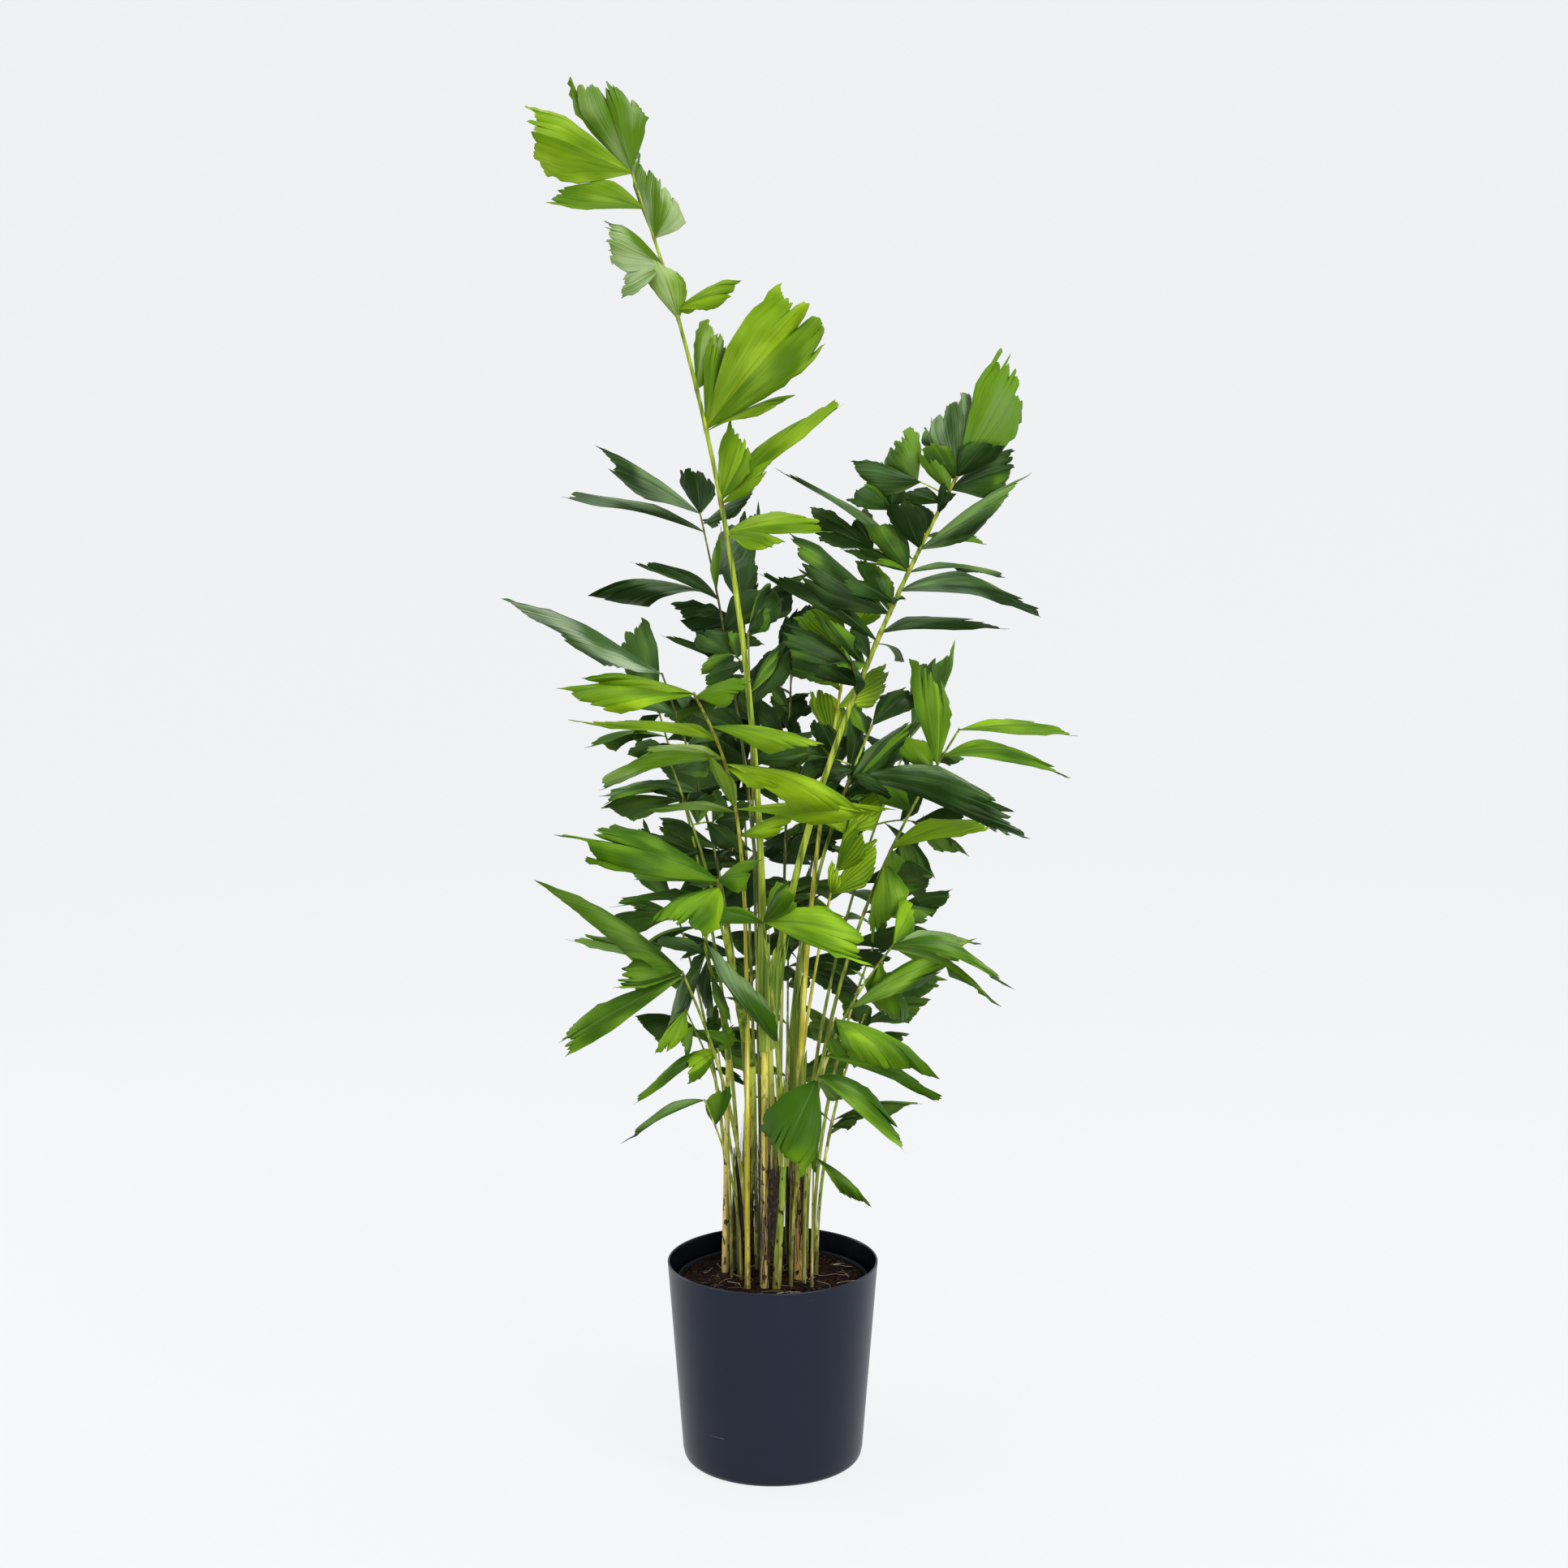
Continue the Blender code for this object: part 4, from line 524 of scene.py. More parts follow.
def testTube(limb):
    sides = limbPlan["caneSides"] if limb["cane"] else limbPlan["stalkSides"]
    step = limbPlan["caneStep"] if limb["cane"] else limbPlan["stalkStep"]
    path = limb["path"]
    rings = max(2, round((path[-1].z - path[0].z) / step)) + 1
    points = []
    faces = []
    for index in range(rings):
        height = path[0].z + (path[-1].z - path[0].z) * index / (rings - 1)
        middle = pointAt(limb, height)
        reach = limbPlan["levelStep"]
        ahead = (pointAt(limb, height + reach) - pointAt(limb, height - reach)).normalized()
        if index in (0, rings - 1):
            ahead = Vector((0.0, 0.0, 1.0))
        across = ahead.cross(Vector((0.0, 1.0, 0.0))).normalized()
        upward = across.cross(ahead).normalized()
        radius = radiusAt(limb, height) + leafPlan["swell"]
        for side in range(sides):
            angle = 2.0 * math.pi * (side + 0.5) / sides
            points.append(middle + across * (radius * math.cos(angle)) - upward * (radius * math.sin(angle)))
            if index < rings - 1:
                low = index * sides
                after = (side + 1) % sides
                faces.append((low + side, low + after, low + sides + after, low + sides + side))
    faces.append(tuple(reversed(range(sides))))
    faces.append(tuple(range((rings - 1) * sides, rings * sides)))
    return points, faces


def lowAndHigh(points):
    spread = np.array([tuple(point) for point in points])
    return spread.min(0), spread.max(0)


# a leaf is kept where it touches no limb and no leaf of another frond
class Crown:
    def __init__(self, limbs):
        self.held = []
        for name, limb in limbs.items():
            self.hold(name, *testTube(limb))

    def hold(self, name, points, faces):
        tree = BVHTree.FromPolygons([tuple(point) for point in points], faces)
        self.held.append((name, tree, lowAndHigh(points)))

    def fits(self, name, leaf):
        points, faces = testSolid(leaf)
        tree = BVHTree.FromPolygons([tuple(point) for point in points], faces)
        low, high = lowAndHigh(points)
        if low[2] < leafPlan["lowestTip"]:
            return False
        for owner, other, (otherLow, otherHigh) in self.held:
            if owner == name:
                continue
            if (low > otherHigh).any() or (otherLow > high).any():
                continue
            if tree.overlap(other):
                return False
        self.held.append((name, tree, (low, high)))
        return True


def placeLeaves(crown, limbs):
    grown = {}
    for name in [*fronds, *farFronds]:
        grown[name] = []
        for number, leaf in enumerate(wantedLeaves(name, limbs[name])):
            leaf["number"] = number
            for tried in leafTries(leaf):
                if crown.fits(name, tried):
                    grown[name].append(tried)
                    break
    return grown


# small leaflets that fill the frond between its large ones, kept only where there is room
fillPlan = dict(
    seed=5, lengths=(0.38, 0.70), widths=(0.40, 0.70), least=0.018, spread=0.85, tries=7, usual=0.75,
    shift=0.03, turns=(30.0, 85.0), arches=(0.05, 0.16), youth=(-0.2, 0.1),
    share={
        "frond_tall": 0.0, "frond_lime": 0.0, "frond_fan": 0.0, "frond_centre": 0.3, "frond_grey_left": 0.0,
        "frond_right_low": 0.2, "frond_right_lower": 0.2, "frond_left": 0.0, "frond_right": 0.5,
        "frond_right_middle": 0.3, "frond_left_low": 0.2, "frond_left_lower": 0.0, "frond_left_hub": 0.5,
        "frond_left_lowest": 0.3, "frond_lowest": 0.0, "frond_right_fan": 0.5, "frond_back_left_dark": 0.35,
        "frond_brown_rib": 1.4, "frond_far_inner": 1.5, "frond_far_deep": 1.5, "frond_far_middle": 1.3,
    },
)


def fillLeaflets(crown, limbs, grown):
    plan = fillPlan
    added = 0
    for name, leaves in grown.items():
        dice = random.Random(plan["seed"] + nameNumber(name))
        large = list(leaves)
        if len(large) < 3:
            continue
        for _ in range(round(len(large) * plan["share"].get(name, plan["usual"]))):
            mother = dice.choice(large)
            for _ in range(plan["tries"]):
                shift = dice.uniform(-plan["shift"], plan["shift"])
                root = pointAt(limbs[name], mother["root"].z + shift)
                reach = mother["reach"].normalized()
                reach += Vector([dice.uniform(-1.0, 1.0) * plan["spread"] for _ in range(3)])
                reach = reach.normalized() * (mother["length"] * dice.uniform(*plan["lengths"]))
                width = max(plan["least"], mother["width"] * dice.uniform(*plan["widths"]))
                width *= dice.choice((-1.0, 1.0))
                turn = dice.uniform(*plan["turns"])
                arch = dice.uniform(*plan["arches"])
                leaf = wantedLeaf(root, reach, width, turn, arch, mother["towards"], dice)
                leaf["number"] = -1
                leaf["youth"] = dice.uniform(*plan["youth"])
                if crown.fits(name, leaf):
                    leaves.append(leaf)
                    added += 1
                    break
    return added


# Some leaves of the solids stand for a spray: a side stalk that carries several leaflets. A spray is (length
# of its stalk, loose angle, leaflets), all but the angle as shares of the solid leaf. A leaflet of it is
# (share along the solid leaf, angle from it, size, breadth). Three sprays have leaflets of their own.
sprayPlan = dict(
    leaves={
        "frond_right": (4, 5, 8), "frond_right_fan": (5,), "frond_dark_middle": (4,),
        "frond_far_tall": (1, 4), "frond_far_inner": (2, 5), "frond_brown_rib": (2,),
        "frond_far_right_high": (1, 4),
    },
    stalkRadii=(0.0013, 0.0008), seed=3, sag=0.05, lift=0.25, sizes=(0.9, 1.08), turn=22.0,
    arches=(0.04, 0.12), youth=(-0.1, 0.25),
    usual=(0.46, 8.0, [
        (0.46, 0.0, 0.66, 1.00), (0.08, 66.0, 0.72, 0.74), (0.27, -46.0, 0.68, 0.80),
        (0.40, 48.0, 0.62, 0.72),
    ]),
    own={
        ("frond_right", 4): (0.40, 3.0, [(0.40, -29.0, 0.56, 1.0), (0.36, 19.0, 0.78, 0.64)]),
        ("frond_right", 5): (0.53, 3.0, [
            (0.53, 5.0, 0.50, 0.85), (0.0, -41.0, 0.48, 0.8), (0.53, -60.0, 0.35, 0.7),
        ]),
        ("frond_right", 8): (0.38, 3.0, [(0.38, 0.0, 0.62, 1.0), (0.38, -35.0, 0.38, 0.9)]),
    },
)
sideStalks = {}


def growSprays(grown):
    plan = sprayPlan
    for name, chosen in plan["leaves"].items():
        dice = random.Random(plan["seed"] + nameNumber(name))
        for leaf in [leaf for leaf in grown[name] if leaf["number"] in chosen]:
            bare, loose, sprigs = plan["own"].get((name, leaf["number"]), plan["usual"])
            along, _, face = leaf["frame"]
            length = leaf["length"]
            sag = face * (length * plan["sag"])

            def stalkPlace(share):
                return leaf["root"] + along * (length * share) + sag * math.sin(math.pi * share / bare)

            places = [stalkPlace(bare * step) for step in (0.0, 0.25, 0.5, 0.75, 1.0)]
            sideStalks.setdefault(name, []).append(places)
            for share, angle, size, broad in sprigs:
                heading = along.copy()
                heading.rotate(Matrix.Rotation(math.radians(angle + dice.uniform(-loose, loose)), 3, face))
                heading += face * dice.uniform(-plan["lift"], plan["lift"])
                reach = heading.normalized() * (length * size * dice.uniform(*plan["sizes"]))
                width = leaf["width"] * broad * leaf["side"]
                turn = leaf["turn"] + dice.uniform(-plan["turn"], plan["turn"])
                arch = dice.uniform(*plan["arches"])
                sprig = wantedLeaf(stalkPlace(share), reach, width, turn, arch, leaf["towards"], dice)
                sprig["number"] = leaf["number"]
                sprig["youth"] = dice.uniform(*plan["youth"])
                grown[name].append(sprig)
            grown[name].remove(leaf)


limbs = planLimbs()
spreadLimbs(limbs)
crown = Crown(limbs)
grown = placeLeaves(crown, limbs)
print("leaflets as the solids have them:", sum(len(leaves) for leaves in grown.values()))
print("small leaflets between them:", fillLeaflets(crown, limbs, grown))
growSprays(grown)


# meshes and pieces

# a mesh from whole arrays: points (n, 3), faces of equal size, and a value or a UV for each point
def makeMesh(name, points, faces, uv=None, marks=None, kinds=None, sharp=60.0):
    mesh = bpy.data.meshes.new(name)
    mesh.from_pydata(points, [], faces if isinstance(faces, list) else faces.tolist())
    corners = np.zeros(len(mesh.loops), np.int32)
    mesh.loops.foreach_get("vertex_index", corners)
    if uv is not None:
        layer = mesh.uv_layers.new(name="UVMap")
        layer.data.foreach_set("uv", np.asarray(uv, np.float32)[corners].ravel())
    for label, values in (marks or {}).items():
        attribute = mesh.attributes.new(label, "FLOAT", "POINT")
        attribute.data.foreach_set("value", np.asarray(values, np.float32))
    if kinds is not None:
        mesh.polygons.foreach_set("material_index", np.asarray(kinds, np.int32))
    mesh.shade_smooth()
    mesh.set_sharp_from_angle(angle=math.radians(sharp))
    mesh.update()
    return mesh


def addObject(name, data):
    made = bpy.data.objects.new(name, data)
    bpy.context.scene.collection.objects.link(made)
    return made


# a visible piece of the object, and the nodes of the solids that it replaces
def dress(name, points, faces, materials, nodes, slot, **shape):
    mesh = makeMesh(name, points, faces, **shape)
    for material in materials:
        mesh.materials.append(material)
    piece = addObject(name, mesh)
    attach(piece, "root")
    if nodes:
        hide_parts(*nodes)
    return mesh


# quads of a grid of rows x columns points; around closes each row on itself
def gridFaces(rows, columns, around=False):
    step = np.arange(rows - 1)[:, None] * columns
    last = columns if around else columns - 1
    across = np.arange(last)[None, :]
    after = (across + 1) % columns
    quads = np.stack([step + across, step + after, step + columns + after, step + columns + across], -1)
    return quads.reshape(-1, 4)


# the skin of a thin sheet: an upper grid, an under grid turned over, and the rim that joins their borders
def sheetFaces(rows, columns):
    upper = gridFaces(rows, columns)
    total = rows * columns
    grid = np.arange(total).reshape(rows, columns)
    border = np.concatenate([grid[0, :-1], grid[:-1, -1], grid[-1, :0:-1], grid[:0:-1, 0]])
    after = np.roll(border, -1)
    return upper, upper[:, ::-1] + total, np.stack([after, border, border + total, after + total], -1)


def anglesAround(sides):
    return 2.0 * np.pi * np.arange(sides) / sides


# a tube: ring = path(t) + radius(t) * (a cos angle + b sin angle), with a and b square to the path
def tubeGrid(path, radii, sides):
    radii = np.broadcast_to(np.asarray(radii, float), (len(path),))
    ahead = np.gradient(path, axis=0)
    ahead /= np.linalg.norm(ahead, axis=1, keepdims=True) + 1e-12
    guide = np.where(np.abs(ahead[:, 1:2]) > 0.9, (1.0, 0.0, 0.0), (0.0, 1.0, 0.0))
    first = np.cross(ahead, guide)
    first /= np.linalg.norm(first, axis=1, keepdims=True)
    second = np.cross(ahead, first)
    angle = anglesAround(sides)[:, None]
    ring = first[:, None, :] * np.cos(angle) + second[:, None, :] * np.sin(angle)
    points = (path[:, None, :] + ring * radii[:, None, None]).reshape(-1, 3)
    faces = gridFaces(len(path), sides, around=True).tolist()
    faces.append(list(range(sides))[::-1])
    faces.append(list(range((len(path) - 1) * sides, len(path) * sides)))
    return points, faces


def joinTubes(tubes):
    points = []
    faces = []
    start = 0
    for tubePoints, tubeFaces in tubes:
        points.append(tubePoints)
        faces += [[corner + start for corner in face] for face in tubeFaces]
        start += len(tubePoints)
    return np.concatenate(points), faces


# shared effects for the materials

# the nodes of one tree; a value is a socket, a number, a vector or a plain colour
class Nodes:
    def __init__(self, tree):
        self.tree = tree

    def fill(self, node, values):
        for label, value in values.items():
            socket = node.inputs[label]
            if isinstance(value, bpy.types.NodeSocket):
                self.tree.links.new(value, socket)
            elif socket.type == "RGBA":
                socket.default_value = (*value, 1.0)
            else:
                socket.default_value = value

    def add(self, kind, values, **settings):
        node = self.tree.nodes.new("ShaderNode" + kind)
        for label, setting in settings.items():
            setattr(node, label, setting)
        self.fill(node, values)
        return node

    def maths(self, operation, *values, clamp=False):
        return self.add("Math", dict(enumerate(values)), operation=operation, use_clamp=clamp).outputs[0]

    def plus(self, first, second, clamp=False):
        return self.maths("ADD", first, second, clamp=clamp)

    def minus(self, first, second):
        return self.maths("SUBTRACT", first, second)

    def times(self, first, second, clamp=False):
        return self.maths("MULTIPLY", first, second, clamp=clamp)

    # first * second + third
    def timesPlus(self, first, second, third):
        return self.maths("MULTIPLY_ADD", first, second, third)

    # 0 below low, 1 above high, smooth between them; falls where low is the larger
    def ramp(self, value, low, high):
        limits = {"Value": value, "From Min": low, "From Max": high}
        return self.add("MapRange", limits, interpolation_type="SMOOTHSTEP").outputs["Result"]

    def blend(self, share, first, second):
        return self.add("Mix", {"Factor": share, 6: first, 7: second}, data_type="RGBA").outputs[2]

    def objectPlace(self):
        return self.add("TexCoord", {}).outputs["Object"]

    def parts(self, vector):
        return self.add("SeparateXYZ", dict(Vector=vector)).outputs

    def noise(self, vector, **values):
        return self.add("TexNoise", dict(Vector=vector, **values)).outputs["Fac"]

    def objectNoise(self, scale, stretch=(1.0, 1.0, 1.0), detail=3.0, roughness=0.55):
        place = self.add("Mapping", dict(Vector=self.objectPlace(), Scale=stretch)).outputs["Vector"]
        return self.noise(place, Scale=scale, Detail=detail, Roughness=roughness)

    # a value that the mesh holds for each point
    def mark(self, name):
        return self.add("Attribute", {}, attribute_name=name).outputs["Fac"]

    def bump(self, height, strength, distance):
        return self.add("Bump", dict(Height=height, Strength=strength, Distance=distance)).outputs["Normal"]


# a shared effect: a node group with the given inputs, which puts out a colour, a roughness and a height
def newEffect(name, inputs):
    group = bpy.data.node_groups.new(name, "ShaderNodeTree")
    for label, value in inputs.items():
        kind = "NodeSocketColor" if isinstance(value, tuple) else "NodeSocketFloat"
        socket = group.interface.new_socket(label, in_out="INPUT", socket_type=kind)
        socket.default_value = (*value, 1.0) if isinstance(value, tuple) else value
    for label, kind in (("Colour", "Color"), ("Roughness", "Float"), ("Height", "Float")):
        group.interface.new_socket(label, in_out="OUTPUT", socket_type="NodeSocket" + kind)
    return Nodes(group), group.nodes.new("NodeGroupInput").outputs


def putOut(nodes, colour, roughness, height):
    out = nodes.tree.nodes.new("NodeGroupOutput")
    nodes.fill(out, dict(Colour=colour, Roughness=roughness, Height=height))
    return nodes.tree


# leaf blade: streaks and creases that fan out from the root, wide patches, a rib and a dry edge
# the blade also holds painted light: painted shade in the creases, painted light shining through the leaf,
# and a painted silvery sheen
def leafBladeGroup():
    nodes, given = newEffect("leafBlade", dict(
        Deep=(0.02, 0.06, 0.02), Fresh=(0.1, 0.2, 0.02), Bright=(0.2, 0.4, 0.02), Rib=(0.3, 0.35, 0.1),
        Paintedsheen=(0.22, 0.30, 0.22), Vein=0.5, Pleat=0.0, Gloss=0.4,
    ))
    fan, run, _ = nodes.parts(nodes.add("UVMap", {}).outputs["UV"])
    own = nodes.mark("leafSeed")

    def fanNoise(acrossRate, alongRate, shift, detail):
        x = nodes.times(fan, acrossRate)
        y = nodes.times(run, alongRate)
        place = nodes.add("CombineXYZ", dict(X=x, Y=y, Z=nodes.plus(own, shift))).outputs["Vector"]
        return nodes.minus(nodes.noise(place, Scale=1.0, Detail=detail), 0.5)

    fine = fanNoise(900.0, 9.0, 0.0, 2.0)
    broad = fanNoise(120.0, 6.0, 5.0, 1.0)
    patch = fanNoise(27.0, 13.0, 9.0, 1.5)
    outward = nodes.mark("outward")
    margin = nodes.mark("margin")
    stripes = nodes.maths("SINE", nodes.times(fan, 2.0 * math.pi / 0.0052))
    share = nodes.timesPlus(fine, given["Vein"], nodes.times(broad, 0.32))
    share = nodes.timesPlus(patch, 2.7, share)
    share = nodes.plus(share, nodes.mark("shade"))
    share = nodes.timesPlus(outward, 0.30, share)
    share = nodes.timesPlus(stripes, given["Pleat"], share)
    share = nodes.plus(share, 0.30)
    colour = nodes.blend(nodes.ramp(share, 0.0, 0.85), given["Deep"], given["Fresh"])
    # painted light: where the share runs high, the colour goes on to the bright green of light shining
    # through the leaf
    colour = nodes.blend(nodes.ramp(share, 0.75, 1.35), colour, given["Bright"])
    # painted shade: along the crease lines the colour darkens towards the deep green, as creases in shade
    # would; the bump presses them in as well
    crease = nodes.ramp(nodes.maths("ABSOLUTE", fanNoise(105.0, 4.0, 21.0, 0.0)), 0.028, 0.004)
    crease = nodes.times(crease, nodes.ramp(outward, 1.0, 0.35))
    colour = nodes.blend(nodes.times(crease, 0.32), colour, given["Deep"])
    # painted sheen: chosen leaflets take a pale silvery colour in streaks, standing in for a reflection of
    # the light
    streaky = nodes.plus(nodes.times(patch, 0.9), nodes.times(fine, 0.5))
    sheen = nodes.times(nodes.ramp(streaky, -0.10, 0.20), nodes.mark("paintedsheen"))
    colour = nodes.blend(sheen, colour, given["Paintedsheen"])
    midrib = nodes.minus(1.0, nodes.ramp(nodes.maths("ABSOLUTE", fan), 0.0004, 0.0017))
    midrib = nodes.times(midrib, nodes.ramp(outward, 0.90, 0.15))
    colour = nodes.blend(nodes.times(midrib, 0.75), colour, given["Rib"])
    edge = nodes.ramp(nodes.maths("MAXIMUM", outward, margin), 0.97, 1.0)
    dry = nodes.times(edge, nodes.ramp(nodes.plus(patch, broad), 0.05, 0.22))
    colour = nodes.blend(nodes.times(dry, 0.5), colour, (0.12, 0.075, 0.022))
    height = nodes.timesPlus(fine, 0.5, nodes.times(crease, -0.4))
    height = nodes.minus(height, midrib)
    height = nodes.timesPlus(stripes, nodes.times(given["Pleat"], 1.2), height)
    return putOut(nodes, colour, nodes.timesPlus(broad, 0.35, given["Gloss"]), height)


# stem skin: colour from foot to top, long streaks of painted highlight and painted shade, dark spots and
# brown patches low down
def stemSkinGroup():
    nodes, given = newEffect("stemSkin", dict(
        Foot=(0.5, 0.4, 0.1), Top=(0.25, 0.3, 0.06), Change=0.45, Spots=0.5, Bark=0.5, Stain=0.6,
    ))
    height = nodes.parts(nodes.objectPlace())["Z"]
    streaks = nodes.minus(nodes.objectNoise(1.0, (210.0, 210.0, 7.0), 4.0), 0.5)
    mottle = nodes.minus(nodes.objectNoise(1.0, (60.0, 60.0, 22.0), 3.0), 0.5)
    rise = nodes.timesPlus(nodes.minus(height, given["Change"]), 5.5, 0.5)
    rise = nodes.plus(rise, nodes.times(nodes.plus(streaks, mottle), 0.9), clamp=True)
    colour = nodes.blend(rise, given["Foot"], given["Top"])
    # painted highlight: pale yellow streaks where light would catch the stem, stronger low down
    paintedHighlight = nodes.times(nodes.ramp(streaks, 0.0, 0.15), nodes.timesPlus(rise, -0.25, 0.80))
    colour = nodes.blend(paintedHighlight, colour, nodes.blend(rise, (1.0, 0.91, 0.38), (0.66, 0.70, 0.09)))
    shadow = nodes.times(nodes.ramp(streaks, -0.01, -0.14), nodes.timesPlus(rise, 0.50, 0.30))
    colour = nodes.blend(shadow, colour, (0.055, 0.095, 0.010))
    low = nodes.minus(1.0, nodes.ramp(height, 0.30, 0.43))
    flakes = nodes.plus(nodes.objectNoise(1.0, (75.0, 75.0, 18.0), 5.0, 0.7), nodes.times(low, 0.20))
    bark = nodes.times(nodes.ramp(flakes, 0.58, 0.66), nodes.times(low, given["Bark"]), clamp=True)
    colour = nodes.blend(bark, colour, (0.030, 0.016, 0.010))
    stain = nodes.minus(1.0, nodes.ramp(nodes.timesPlus(mottle, -0.16, height), 0.246, 0.282))
    colour = nodes.blend(nodes.times(stain, given["Stain"]), colour, (0.040, 0.024, 0.012))
    spots = nodes.ramp(nodes.objectNoise(1.0, (180.0, 180.0, 90.0), 1.0, 0.3), 0.635, 0.665)
    spots = nodes.times(spots, given["Spots"])
    spots = nodes.times(spots, nodes.minus(1.0, nodes.ramp(height, 0.38, 0.60)))
    colour = nodes.blend(spots, colour, (0.016, 0.010, 0.006))
    colour = nodes.blend(nodes.times(nodes.mark("knot"), 0.55), colour, (0.10, 0.055, 0.022))
    rough = nodes.timesPlus(bark, 0.35, nodes.timesPlus(mottle, 0.3, 0.42))
    return putOut(nodes, colour, rough, nodes.timesPlus(bark, 1.2, nodes.times(streaks, 1.6)))


# crumbs: a coarse and a fine grain mixed between two colours
def crumbGroup():
    nodes, given = newEffect("crumb", dict(Dark=(0.01, 0.006, 0.004), Light=(0.06, 0.03, 0.02), Scale=180.0))
    fine = nodes.noise(nodes.objectPlace(), Scale=given["Scale"], Detail=6.0, Roughness=0.7)
    coarse = nodes.objectNoise(38.0, detail=4.0)
    share = nodes.times(nodes.ramp(fine, 0.46, 0.70), nodes.ramp(coarse, 0.3, 0.7))
    colour = nodes.blend(share, given["Dark"], given["Light"])
    return putOut(nodes, colour, nodes.timesPlus(share, 0.3, 0.62), fine)


groups = dict(leafBlade=leafBladeGroup(), stemSkin=stemSkinGroup(), crumb=crumbGroup())


def newMaterial(name):
    made = bpy.data.materials.new(name)
    made.use_nodes = True
    return made, Nodes(made.node_tree), made.node_tree.nodes["Principled BSDF"]


# a material around one shared group: its colour, roughness and bump feed the Principled shader
def groupMaterial(name, group, values, bump, distance, specular=0.5):
    made, nodes, shader = newMaterial(name)
    effect = nodes.add("Group", values, node_tree=groups[group]).outputs
    nodes.fill(shader, {
        "Base Color": effect["Colour"], "Roughness": effect["Roughness"], "Specular IOR Level": specular,
        "Normal": nodes.bump(effect["Height"], bump, distance),
    })
    return made


def crumbMaterial(name, dark, light, scale, bump, distance, specular=0.5):
    return groupMaterial(name, "crumb", dict(Dark=dark, Light=light, Scale=scale), bump, distance, specular)


# leaflets

# in the tones of the upper and under faces, bright is painted light shining through the leaf, and the silvery
# colour is a painted sheen
leafTones = {
    "lime": dict(deep=(0.066, 0.150, 0.002), fresh=(0.152, 0.272, 0.004), bright=(0.255, 0.415, 0.008),
                 rib=(0.15, 0.16, 0.02), gloss=0.44, paintedsheen=(0.32, 0.42, 0.22)),
    "bright": dict(deep=(0.034, 0.100, 0.003), fresh=(0.110, 0.235, 0.006), bright=(0.215, 0.390, 0.009),
                   rib=(0.12, 0.19, 0.05), gloss=0.40, paintedsheen=(0.26, 0.36, 0.20)),
    "middle": dict(deep=(0.030, 0.084, 0.004), fresh=(0.098, 0.212, 0.009), bright=(0.195, 0.360, 0.009),
                   rib=(0.10, 0.16, 0.05), gloss=0.38, paintedsheen=(0.24, 0.34, 0.20)),
    "dark": dict(deep=(0.0090, 0.027, 0.0030), fresh=(0.027, 0.070, 0.008), bright=(0.100, 0.215, 0.007),
                 rib=(0.065, 0.11, 0.035), gloss=0.35, paintedsheen=(0.21, 0.29, 0.19)),
    "grey": dict(deep=(0.045, 0.105, 0.026), fresh=(0.120, 0.220, 0.062), bright=(0.180, 0.310, 0.085),
                 rib=(0.03, 0.06, 0.02), gloss=0.44, paintedsheen=(0.34, 0.42, 0.28)),
}
leafUnder = {
    "lime": dict(deep=(0.080, 0.165, 0.012), fresh=(0.160, 0.290, 0.030), bright=(0.270, 0.440, 0.035),
                 rib=(0.22, 0.24, 0.09), gloss=0.58, paintedsheen=(0.28, 0.37, 0.20)),
    "bright": dict(deep=(0.045, 0.110, 0.012), fresh=(0.095, 0.200, 0.025), bright=(0.180, 0.330, 0.028),
                   rib=(0.15, 0.20, 0.07), gloss=0.58, paintedsheen=(0.22, 0.30, 0.18)),
    "middle": dict(deep=(0.030, 0.078, 0.012), fresh=(0.070, 0.150, 0.026), bright=(0.130, 0.260, 0.028),
                   rib=(0.11, 0.15, 0.06), gloss=0.56, paintedsheen=(0.20, 0.28, 0.17)),
    "dark": dict(deep=(0.018, 0.046, 0.010), fresh=(0.044, 0.096, 0.022), bright=(0.105, 0.215, 0.022),
                 rib=(0.08, 0.11, 0.05), gloss=0.54, paintedsheen=(0.17, 0.24, 0.16)),
    "grey": dict(deep=(0.055, 0.110, 0.040), fresh=(0.110, 0.190, 0.075), bright=(0.160, 0.260, 0.090),
                 rib=(0.10, 0.13, 0.06), gloss=0.58, paintedsheen=(0.24, 0.32, 0.20)),
}
leafSpecular = 0.07


def leafMaterial(name, tone, vein, pleat):
    values = {label.capitalize(): value for label, value in tone.items()}
    return groupMaterial(name, "leafBlade", dict(values, Vein=vein, Pleat=pleat), 0.5, 0.0012, leafSpecular)


leafMaterials = {}
for toneName in leafTones:
    leafMaterials[toneName] = [
        leafMaterial("leaf_" + toneName, leafTones[toneName], 0.40, 0.0),
        leafMaterial("leaf_under_" + toneName, leafUnder[toneName], 0.60, 0.0),
    ]
leafMaterials["pleated"] = [
    leafMaterial("leaf_lime_pleated", leafTones["lime"], 0.6, 0.40),
    leafMaterial("leaf_under_lime_pleated", leafUnder["lime"], 0.8, 0.35),
]
pleatedFronds = ("frond_inner_lime", "frond_back_cane")

